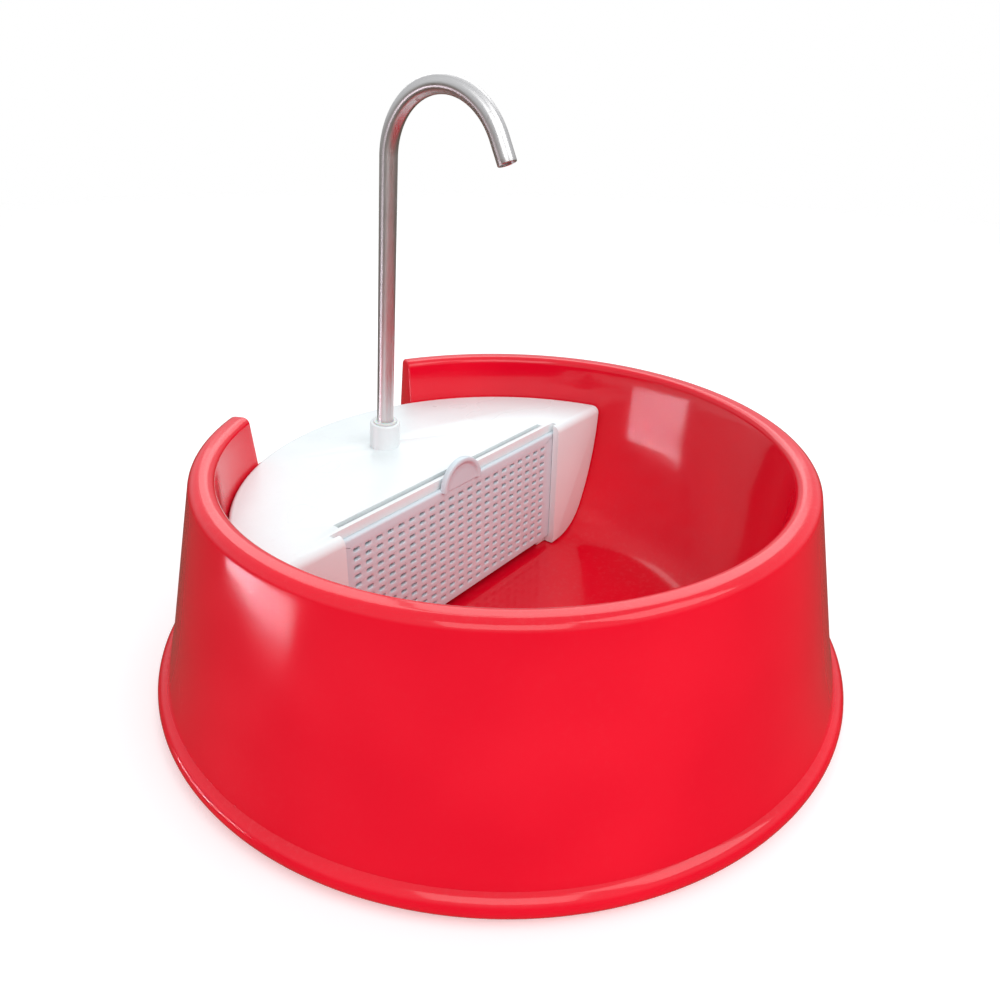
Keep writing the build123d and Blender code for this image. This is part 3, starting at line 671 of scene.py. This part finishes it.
def bowl_stations(steps_round, steps_notch):
    """Stations round the bowl as (kind, value, rounding); notch ones span the gap, the others the rest."""
    corner = [(1 - cos(a), 1 - sin(a)) for a in QUARTER]
    right = [("edge", (1, off), inset) for off, inset in corner]
    around = [("round", step / steps_round, 0.0) for step in range(1, steps_round)]
    left = [("edge", (-1, off), inset) for off, inset in reversed(corner)]
    gap = [("gap", 1 - 2 * step / steps_notch, 1.0) for step in range(1, steps_notch)]
    return right + around + left, [left[-1], *[(k, -v, i) for k, v, i in gap], right[0]]


def station_angle(kind, value, size):
    """Angle from +Y towards +X of a station."""
    rounding = size.edge / KNEE[0]
    if kind == "edge":
        side, off = value
        return side * (size.notch_angle + off * rounding)
    if kind == "gap":
        return value * size.notch_angle
    first = size.notch_angle + rounding
    return first + value * (2 * pi - 2 * first)


def bowl_mesh(size, steps_round=224, steps_notch=28, ledge_steps=4):
    """The whole bowl as one closed skin."""
    rows = bowl_rows(size)
    inward = into_plastic(rows)
    solid, gap = bowl_stations(steps_round, steps_notch)
    verts, faces = [], []

    def point(row, station):
        radius, height, share, _ = rows[row]
        kind, value, inset = station
        depth = share * inset * size.edge
        radius += depth * inward[row][0]
        height += depth * inward[row][1]
        angle = station_angle(kind, value, size)
        verts.append((radius * sin(angle), radius * cos(angle), height))
        return len(verts) - 1

    def skin(grid):
        for near, far in zip(grid, grid[1:]):
            faces.extend(zip(near, near[1:], far[1:], far))

    skin([[point(row, station) for row in range(len(rows))] for station in solid])
    horn = [i for i, row in enumerate(rows) if row[3] == "horn"]
    lower_in = list(range(horn[0]))
    lower_out = list(range(horn[-1] + 1, len(rows)))
    grid = []
    for station in gap:
        inside = [point(row, station) for row in lower_in]
        outside = [point(row, station) for row in lower_out]
        a, b = Vector(verts[inside[-1]]), Vector(verts[outside[0]])
        shelf = []
        for step in range(1, ledge_steps):
            verts.append(tuple(a.lerp(b, step / ledge_steps)))
            shelf.append(len(verts) - 1)
        grid.append(inside + shelf + outside)
    skin(grid)
    for station, strip in ((gap[0], grid[0]), (gap[-1], grid[-1])):
        loop = [point(row, station) for row in horn]
        bottom = strip[len(lower_in) - 1 : len(lower_in) + ledge_steps]
        faces.append(loop + list(reversed(bottom)))
    return mesh_from(verts, faces)


class FOUNTAIN_OT_bowl(bpy.types.Operator):
    """Make the bowl and its rubber pads"""

    bl_idname = "fountain.bowl"
    bl_label = "Bowl"

    def execute(self, context):
        mesh = bowl_mesh(settings().bowl)
        new_piece("bowl_moulding", mesh, "Bowl plastic", "bowl", ["bowl"], 40)
        eased_copy("foot_pads", "rubber_pads", "Black rubber", "bowl", 0.5 * MM, 3)
        return {"FINISHED"}


# ---------------------------------------------------------------- housing


class FOUNTAIN_OT_housing(bpy.types.Operator):
    """Make the pump housing, its seal and the feed hose"""

    bl_idname = "fountain.housing"
    bl_label = "Pump housing"

    def execute(self, context):
        white = "Housing plastic"
        eased_copy("housing", "housing_cover", white, "housing", 0.45 * MM, 3)
        eased_copy("spout_seal", "boss_seal", "Silicone", "housing", 0.15 * MM)
        eased_copy("feed_hose", "silicone_hose", "Silicone", "housing", 0.3 * MM)
        return {"FINISHED"}


# ---------------------------------------------------------------- grille


def hole_cell(size):
    """One tile of the grille with its hole, about the origin, the plate's front at y = 0."""
    half_x, half_z = size.pitch_x / 2, size.pitch_z / 2
    end = size.hole_height / 2
    reach = size.hole_width / 2 - end
    steps = 24
    lip = 0.22 * MM

    def hole(grow, depth):
        ring = []
        for step in range(steps):
            angle = 2 * pi * (step + 0.5) / steps
            shift = copysign(reach, cos(angle))
            ring.append((shift + (end + grow) * cos(angle), depth, (end + grow) * sin(angle)))
        return ring

    def border(depth):
        ring = []
        for x, _, z in hole(0, 0):
            scale = min(half_x / abs(x), half_z / abs(z))
            ring.append((x * scale, depth, z * scale))
        return ring

    back = size.thickness
    rings = [border(0), hole(lip, 0), hole(0.3 * lip, 0.3 * lip), hole(0, lip)]
    rings += [hole(0, back - lip), hole(0.3 * lip, back - 0.3 * lip), hole(lip, back), border(back)]
    verts = [point for ring in rings for point in ring]
    faces = grid_faces(len(rings), steps, closed=True)
    for ring in (0, len(rings) - 1):
        corners = [i for i in range(steps) if is_corner_gap(rings[ring], i, half_x, half_z)]
        for i in corners:
            a, b = rings[ring][i], rings[ring][(i + 1) % steps]
            verts.append((copysign(half_x, a[0]), a[1], copysign(half_z, a[2])))
            faces.append((ring * steps + i, ring * steps + (i + 1) % steps, len(verts) - 1))
    return mesh_from(verts, faces)


def is_corner_gap(ring, i, half_x, half_z):
    """True where two neighbouring border points lie on different sides of the tile."""
    a, b = ring[i], ring[(i + 1) % len(ring)]
    on_side = [abs(abs(p[0]) - half_x) < 1e-7 for p in (a, b)]
    return on_side[0] != on_side[1]


def repeat_tree():
    """Geometry nodes: a flat grid of copies of one tile, welded into one sheet."""
    tree = bpy.data.node_groups.new("Perforated Sheet", "GeometryNodeTree")
    face = tree.interface
    for label, kind in (
        ("Tile", "NodeSocketObject"),
        ("Columns", "NodeSocketInt"),
        ("Rows", "NodeSocketInt"),
        ("Pitch X", "NodeSocketFloat"),
        ("Pitch Z", "NodeSocketFloat"),
        ("Centre", "NodeSocketVector"),
        ("Finish", "NodeSocketMaterial"),
    ):
        face.new_socket(label, in_out="INPUT", socket_type=kind)
    face.new_socket("Sheet", in_out="OUTPUT", socket_type="NodeSocketGeometry")
    given = node(tree, "NodeGroupInput").outputs
    spans = []
    for count, pitch in (("Columns", "Pitch X"), ("Rows", "Pitch Z")):
        gaps = maths(tree, "SUBTRACT", given[count], 1.0)
        spans.append(product(tree, gaps, given[pitch]))
    counts = {"Vertices X": given["Columns"], "Vertices Y": given["Rows"]}
    inputs = {"Size X": spans[0], "Size Y": spans[1], **counts}
    grid = node(tree, "GeometryNodeMeshGrid", inputs).outputs["Mesh"]
    upright = node(tree, "GeometryNodeTransform", {"Geometry": grid, "Rotation": (pi / 2, 0, 0)})
    tile = node(tree, "GeometryNodeObjectInfo", {"Object": given["Tile"]}).outputs["Geometry"]
    inputs = {"Points": upright.outputs[0], "Instance": tile}
    copies = node(tree, "GeometryNodeInstanceOnPoints", inputs).outputs["Instances"]
    sheet = copies
    for kind, extra in (
        ("Transform", {"Translation": given["Centre"]}),
        ("RealizeInstances", {}),
        ("MergeByDistance", {"Distance": WELD}),
        ("SetMaterial", {"Material": given["Finish"]}),
    ):
        sheet = node(tree, "GeometryNode" + kind, {"Geometry": sheet, **extra}).outputs[0]
    node(tree, "NodeGroupOutput", {"Sheet": sheet})
    return tree


def perforated_sheet(size, centre, finish):
    """The field of holes as a plain mesh, open round its border."""
    tile = linked("tile", hole_cell(size))
    host = linked("sheet", bpy.data.meshes.new("sheet"))
    tree = repeat_tree()
    modifier = host.modifiers.new("Holes", "NODES")
    modifier.node_group = tree
    values = {
        "Tile": tile,
        "Columns": size.columns,
        "Rows": size.rows,
        "Pitch X": size.pitch_x,
        "Pitch Z": size.pitch_z,
        "Centre": centre,
        "Finish": bpy.data.materials[finish],
    }
    for item in tree.interface.items_tree:
        if item.in_out == "INPUT":
            modifier[item.identifier] = values[item.name]
    mesh = finished(host)
    bpy.data.objects.remove(tile)
    return mesh


def bordered(mesh, size, centre, low, high):
    """Carries the sheet's border out to the plate's edges and closes them, with eased edges."""
    plate = bmesh.new()
    plate.from_mesh(mesh)
    half_x = size.columns * size.pitch_x / 2
    half_z = size.rows * size.pitch_z / 2
    front, back = centre.y, centre.y + size.thickness
    top_edge, side_edge = 1.1 * MM, 0.35 * MM
    rim = [e for e in plate.edges if e.is_boundary]
    loop = [e for e in rim if max(v.co.y for v in e.verts) < front + 0.1 * MM]
    shares = {v: (v.co.x / half_x, (v.co.z - centre.z) / half_z) for e in loop for v in e.verts}
    turns = [("front", step * pi / 8) for step in range(5)]
    turns += [("back", pi / 2 - step * pi / 6) for step in range(4)]
    turns.append(("hole field", 0))
    for side, turn in turns:
        made = bmesh.ops.extrude_edge_only(plate, edges=loop)["geom"]
        loop = [e for e in made if isinstance(e, bmesh.types.BMEdge) and e.is_boundary]
        fresh = {}
        for vert in (v for v in made if isinstance(v, bmesh.types.BMVert)):
            key = min(shares, key=lambda old: (old.co - vert.co).length_squared)
            fresh[vert] = shares[key]
        for vert, (across, up) in fresh.items():
            edge = top_edge if up > 0.999 and side == "front" else side_edge
            gap = side_edge * (1 - sin(turn))
            top = high.z - edge * (1 - sin(turn)) if up > 0.999 else high.z - gap
            bottom = low.z + gap
            depth = edge * (1 - cos(turn))
            vert.co.x = across * (high.x - gap)
            vert.co.z = bottom + (up + 1) / 2 * (top - bottom)
            vert.co.y = front + depth if side == "front" else back - depth
            if side == "hole field":
                vert.co = (across * half_x, back, centre.z + up * half_z)
        shares = fresh
    bmesh.ops.remove_doubles(plate, verts=plate.verts, dist=0.01 * MM)
    bmesh.ops.recalc_face_normals(plate, faces=plate.faces)
    plate.to_mesh(mesh)
    plate.free()
    return mesh


def tab_mesh(size, front, back):
    """Half-round finger tab with a raised rim and a shallow dish."""
    full = size.tab_radius
    depth = 0.9 * MM
    rings = [(full - inset * MM, back - rise * MM) for inset, rise in ((0.7, 0), (0.2, 0.2), (0, 0.7))]
    rim = ((0, 0.8), (0.25, 0.25), (0.8, 0), (1.7, 0), (2.1, 0.2))
    rings += [(full - inset * MM, front + sink * MM) for inset, sink in rim]
    rings += [(full - 2.6 * MM, front + 0.75 * depth), (full - 3.4 * MM, front + depth)]
    rings += [(0.5 * full, front + depth), (0.2 * full, front + depth)]
    steps = 48
    verts = []
    for radius, y in rings:
        for step in range(steps + 1):
            angle = pi * step / steps
            verts.append((radius * cos(angle), y, size.tab_height + radius * sin(angle)))
    wide = steps + 1
    faces = grid_faces(len(rings), wide)
    faces.append(tuple(range(wide)))
    faces.append(tuple((len(rings) - 1) * wide + step for step in range(wide)))
    right = [ring * wide for ring in range(len(rings))]
    left = [ring * wide + steps for ring in range(len(rings))]
    faces.append(tuple(right + left[::-1]))
    return mesh_from(verts, faces)


class FOUNTAIN_OT_grille(bpy.types.Operator):
    """Make the perforated grille and its finger tab"""

    bl_idname = "fountain.grille"
    bl_label = "Grille"

    def execute(self, context):
        size = settings().grille
        finish = "Grille plastic"
        back = HIGH["grille"].y
        low = Vector((LOW["grille"].x, back - size.thickness, LOW["grille"].z))
        high = Vector((HIGH["grille"].x, back, size.top))
        middle = size.top_row - (size.rows - 1) * size.pitch_z / 2
        centre = Vector((0, low.y, middle))
        mesh = bordered(perforated_sheet(size, centre, finish), size, centre, low, high)
        new_piece("grille_plate", mesh, finish, "grille", ["grille"], 50)
        front = LOW["grille"].y
        tab = tab_mesh(size, front, front + size.tab_thickness)
        new_piece("grille_tab", tab, finish, "grille")
        return {"FINISHED"}


# ---------------------------------------------------------------- filter


def foam_slab(low, high, seed, steps_x=14, steps_z=34, depth=0.16 * MM):
    """A thin slab whose two faces are gently uneven, as cut foam is."""
    rng = random.Random(seed)
    verts = []
    for y, out in ((low.y, -1), (high.y, 1)):
        for row in range(steps_z + 1):
            for column in range(steps_x + 1):
                x = low.x + (high.x - low.x) * column / steps_x
                z = low.z + (high.z - low.z) * row / steps_z
                edge = row in (0, steps_z) or column in (0, steps_x)
                push = 0 if edge else depth * rng.uniform(-1, 0.2)
                verts.append((x, y + out * push, z))
    wide = steps_x + 1
    tall = steps_z + 1
    faces = grid_faces(tall, wide) + grid_faces(tall, wide, start=wide * tall)
    border = list(range(wide)) + [wide * row + steps_x for row in range(1, tall)]
    border += list(range(wide * tall - 2, wide * (tall - 1) - 1, -1))
    border += [wide * row for row in range(tall - 2, 0, -1)]
    for a, b in zip(border, border[1:] + border[:1]):
        faces.append((a, b, b + wide * tall, a + wide * tall))
    return verts, faces


class FOUNTAIN_OT_filter(bpy.types.Operator):
    """Make the filter's frame and its carbon pads"""

    bl_idname = "fountain.filter"
    bl_label = "Filter"

    def execute(self, context):
        plastic = "Filter plastic"
        eased_copy("filter_frame", "filter_holder", plastic, "filter", 0.25 * MM)
        low, high = LOW["carbon_pads"], HIGH["carbon_pads"]
        rail = LOW["carbon_pads"].x - LOW["filter_frame"].x
        count = 4
        wide = (high.x - low.x - (count - 1) * rail) / count
        verts, faces = [], []
        for bay in range(count):
            left = low.x + bay * (wide + rail)
            first, last = Vector((left, low.y, low.z)), Vector((left + wide, high.y, high.z))
            points, sides = foam_slab(first, last, bay)
            faces += [tuple(len(verts) + i for i in face) for face in sides]
            verts += points
        mesh = mesh_from(verts, faces)
        new_piece("carbon_foam", mesh, "Carbon foam", "filter", ["carbon_pads"], 60)
        return {"FINISHED"}


# ---------------------------------------------------------------- spout


def spout_line(size):
    """Places along the tube's middle as (y, z, heading, distance from the foot)."""
    heading = pi / 2 + size.lean
    along = (-sin(size.lean), cos(size.lean))
    low = (size.foot_y - size.below * along[0], size.housing_top - size.below * along[1])
    high = (size.foot_y + size.straight * along[0], size.housing_top + size.straight * along[1])
    run = size.below + size.straight
    places = [(*low, heading, 0.0)]
    places += [(*p, heading, run * (i + 1) / 12) for i, p in enumerate(line(low, high, 12))]
    steps = 64
    bend = arc(high, heading, size.bend_radius, size.bend_angle, steps)
    for step, point in enumerate(bend, 1):
        turned = size.bend_angle * step / steps
        places.append((*point, heading + turned, run + size.bend_radius * turned))
    y, z, heading, run = places[-1]
    end = (y + size.outlet * cos(heading), z + size.outlet * sin(heading))
    for step, point in enumerate(line((y, z), end, 4), 1):
        places.append((*point, heading, run + size.outlet * step / 4))
    return places


def tube_mesh(size, steps=48):
    """The bent tube with its bore, rounded lips and a map that runs along it."""
    places = spout_line(size)
    lip = (size.tube_radius - size.bore_radius) / 2
    middle = (size.tube_radius + size.bore_radius) / 2
    lips = [radians(angle) for angle in (0, 30, 60, 90, 120, 150, 180)]
    rings = []
    for angle in reversed(lips):
        rings.append((places[0], middle + lip * cos(angle), lip - lip * sin(angle)))
    rings += [(place, size.tube_radius, 0.0) for place in places[1:-1]]
    for angle in lips:
        rings.append((places[-1], middle + lip * cos(angle), lip * sin(angle) - lip))
    rings += [(place, size.bore_radius, 0.0) for place in reversed(places[1:-1])]
    verts, maps = [], []
    for (y, z, heading, far), radius, slide in rings:
        ahead = Vector((0, cos(heading), sin(heading)))
        side = Vector((1, 0, 0))
        out = ahead.cross(side)
        for step in range(steps):
            angle = 2 * pi * step / steps
            around = cos(angle) * side + sin(angle) * out
            verts.append(tuple(Vector((0, y, z)) + ahead * slide + radius * around))
            maps.append((step / steps, (far + slide) / (2 * pi * size.tube_radius)))
    grid = grid_faces(len(rings) + 1, steps, closed=True)
    faces = [tuple(i % len(verts) for i in face) for face in grid]
    mesh = bpy.data.meshes.new("tube")
    mesh.from_pydata(verts, [], faces)
    layer = mesh.uv_layers.new(name="along")
    for loop in mesh.loops:
        layer.data[loop.index].uv = maps[loop.vertex_index]
    for polygon in mesh.polygons:
        around = [layer.data[i].uv for i in polygon.loop_indices]
        if max(uv.x for uv in around) > 0.9:
            for uv in around:
                uv.x = uv.x or 1.0
    shell = bmesh.new()
    shell.from_mesh(mesh)
    bmesh.ops.recalc_face_normals(shell, faces=shell.faces)
    shell.to_mesh(mesh)
    shell.free()
    return mesh


class FOUNTAIN_OT_spout(bpy.types.Operator):
    """Make the bent steel spout"""

    bl_idname = "fountain.spout"
    bl_label = "Spout"

    def execute(self, context):
        mesh = tube_mesh(settings().spout)
        new_piece("spout_tube", mesh, "Brushed steel", "spout", ["spout"], 60)
        return {"FINISHED"}


# ---------------------------------------------------------------- pump


PUMP_PIECES = (
    # node, piece, finish, body, slot, edge
    ("pump_case", "pump_block", "Pump plastic", "bowl", "dark_plastic", 0.5),
    ("volute_cover", "impeller_chamber", "Pump plastic", "bowl", "dark_plastic", 0.25),
    ("intake_cover", "intake_strainer", "Pump plastic", "intake_cover", "dark_plastic", 0.2),
    ("flow_dial", "flow_dial_disc", "Filter plastic", "flow_dial", "dark_plastic", 0.15),
    ("intake_foam", "intake_sponge", "Intake foam", "intake_cover", "carbon_foam", 0.4),
    ("cable_gland", "lead_gland", "Black rubber", "bowl", "rubber", 0.25),
    ("suction_cups", "cups", "Silicone", "bowl", "silicone", 0.15),
    ("volute_seal", "chamber_ring", "Black rubber", "bowl", "rubber", 0.15),
    ("impeller", "impeller_wheel", "Housing plastic", "rotor", "white_plastic", 0.15),
    ("rotor_magnet", "ring_magnet", "Sintered magnet", "rotor", "ferrite", 0.2),
    ("rotor_shaft", "shaft_pin", "Laminated iron", "bowl", "steel_tube", 0.12),
    ("shaft_bushes", "bushes", "Black rubber", "bowl", "rubber", 0.15),
    ("stator_core", "laminated_core", "Laminated iron", "bowl", "core_iron", 0.2),
    ("coil_bobbin", "bobbin", "Housing plastic", "bowl", "white_plastic", 0.12),
    ("coil_winding", "winding", "Enamelled copper", "bowl", "copper", 0.3),
    ("potting_resin", "resin", "Pump plastic", "bowl", "dark_plastic", 0.1),
)


class FOUNTAIN_OT_pump(bpy.types.Operator):
    """Make the pump's pieces"""

    bl_idname = "fountain.pump"
    bl_label = "Pump"

    def execute(self, context):
        for cad, name, finish, body, slot, edge in PUMP_PIECES:
            eased_copy(cad, name, finish, body, edge * MM)
        return {"FINISHED"}


# ---------------------------------------------------------------- stage


TARGET = (0, 0, 0.05)
LIGHTS = (
    # name, place, target, power, width, height
    ("key", (-0.95, -0.75, 1.0), TARGET, 6.5, 1.0, 1.0),
    ("fill", (0.15, -0.95, 1.05), TARGET, 5.6, 0.9, 0.9),
    ("back", (0.85, 0.65, 1.0), TARGET, 5.5, 1.3, 0.8),
)
WINDOW = ("window", (-0.566, 0.486, -0.11), (0, 0, 0.07), 0.6, 0.4, 0.075, (1, 0.86, 0.97))
GROUND = (0.44, (0.13, 0.1, 0.075, 1))  # height on the world's ramp, colour
SKY = (0.62, (0.72, 0.735, 0.75, 1))
LENS_SHIFT = (-0.0056, -0.0259)


def soft_light(name, place, target, power, wide, tall, tint=(1, 1, 1)):
    lamp = bpy.data.lights.new(name, "AREA")
    lamp.shape = "RECTANGLE"
    lamp.size = wide
    lamp.size_y = tall
    lamp.energy = power
    lamp.color = tint
    made = linked(name, lamp)
    made.location = place
    made.rotation_mode = "QUATERNION"
    made.rotation_quaternion = (Vector(target) - Vector(place)).to_track_quat("-Z", "Y")
    made.visible_camera = False
    return made


def studio_world():
    """Even white surroundings, darker below the horizon for what the gloss mirrors."""
    world = bpy.data.worlds.new("Studio")
    world.use_nodes = True
    tree = world.node_tree
    shader = tree.nodes["Background"]
    height = node(tree, "ShaderNodeTexCoord").outputs["Generated"]
    up = node(tree, "ShaderNodeSeparateXYZ", {0: height}).outputs["Z"]
    ramp = node(tree, "ShaderNodeValToRGB", {"Fac": remap(tree, up, -1, 1)}).color_ramp
    for stop, (place, tint) in zip(ramp.elements, (GROUND, SKY)):
        stop.position = place
        stop.color = tint
    shade_of = tree.nodes[-1].outputs["Color"]
    seen = node(tree, "ShaderNodeLightPath").outputs["Is Camera Ray"]
    tree.links.new(blended(tree, seen, shade_of, (1, 1, 1)), shader.inputs["Color"])
    shader.inputs["Strength"].default_value = 1.0
    bpy.context.scene.world = world


def studio_camera(size):
    data = bpy.data.cameras.new("Camera")
    data.lens = size.lens
    data.sensor_width = 36
    data.shift_x, data.shift_y = LENS_SHIFT
    data.clip_start = 0.01
    made = linked("Camera", data)
    turn, pitch, roll = size.camera_turn, size.camera_pitch, size.camera_roll
    right = Vector((cos(turn), -sin(turn), 0))
    ahead = Vector((sin(turn) * cos(pitch), cos(turn) * cos(pitch), -sin(pitch)))
    up = right.cross(ahead)
    across = cos(roll) * right + sin(roll) * up
    upright = cos(roll) * up - sin(roll) * right
    axes = Matrix((across, upright, -ahead)).transposed()
    reach = -size.camera_radius
    place = Vector((reach * sin(turn), reach * cos(turn), size.camera_height))
    made.matrix_world = Matrix.Translation(place) @ axes.to_4x4()
    bpy.context.scene.camera = made


def studio_floor(radius):
    steps = 96
    angles = [2 * pi * step / steps for step in range(steps)]
    mesh = bpy.data.meshes.new("floor")
    mesh.from_pydata([(radius * cos(a), radius * sin(a), 0) for a in angles], [], [tuple(range(steps))])
    mesh.materials.append(bpy.data.materials["Pale floor"])
    made = linked("floor", mesh)
    made.visible_glossy = False


class FOUNTAIN_OT_stage(bpy.types.Operator):
    """Make the floor, the soft lights and the camera"""

    bl_idname = "fountain.stage"
    bl_label = "Stage"

    def execute(self, context):
        look = settings()
        floor_finish(look.finish.floor)
        studio_floor(look.stage.floor_radius)
        studio_world()
        for light in LIGHTS:
            soft_light(*light)
        window = soft_light(*WINDOW)
        window.data.use_shadow = False
        window.data.cycles.use_multiple_importance_sampling = False
        window.visible_diffuse = False
        studio_camera(look.stage)
        context.scene.view_settings.view_transform = "Standard"
        return {"FINISHED"}


# ---------------------------------------------------------------- add-on


class FOUNTAIN_PT_panel(bpy.types.Panel):
    bl_idname = "FOUNTAIN_PT_panel"
    bl_label = "Pet Drinking Fountain"
    bl_space_type = "VIEW_3D"
    bl_region_type = "UI"
    bl_category = "Fountain"

    def draw(self, context):
        look = context.scene.fountain
        for step in STEPS:
            self.layout.operator(step.bl_idname)
        for part in (look.bowl, look.grille, look.spout, look.finish, look.stage):
            box = self.layout.box()
            for key in part.__annotations__:
                box.prop(part, key)


STEPS = (
    FOUNTAIN_OT_finishes,
    FOUNTAIN_OT_stage,
    FOUNTAIN_OT_bowl,
    FOUNTAIN_OT_housing,
    FOUNTAIN_OT_grille,
    FOUNTAIN_OT_filter,
    FOUNTAIN_OT_spout,
    FOUNTAIN_OT_pump,
)
CLASSES = (
    BowlSettings,
    GrilleSettings,
    SpoutSettings,
    FinishSettings,
    StageSettings,
    FountainSettings,
    *STEPS,
    FOUNTAIN_PT_panel,
)


def register():
    for made in CLASSES:
        bpy.utils.register_class(made)
    bpy.types.Scene.fountain = PointerProperty(type=FountainSettings)


def unregister():
    del bpy.types.Scene.fountain
    for made in reversed(CLASSES):
        bpy.utils.unregister_class(made)


def main():
    register()
    for step in STEPS:
        area, name = step.bl_idname.split(".")
        getattr(getattr(bpy.ops, area), name)()


if __name__ == "__main__":
    main()
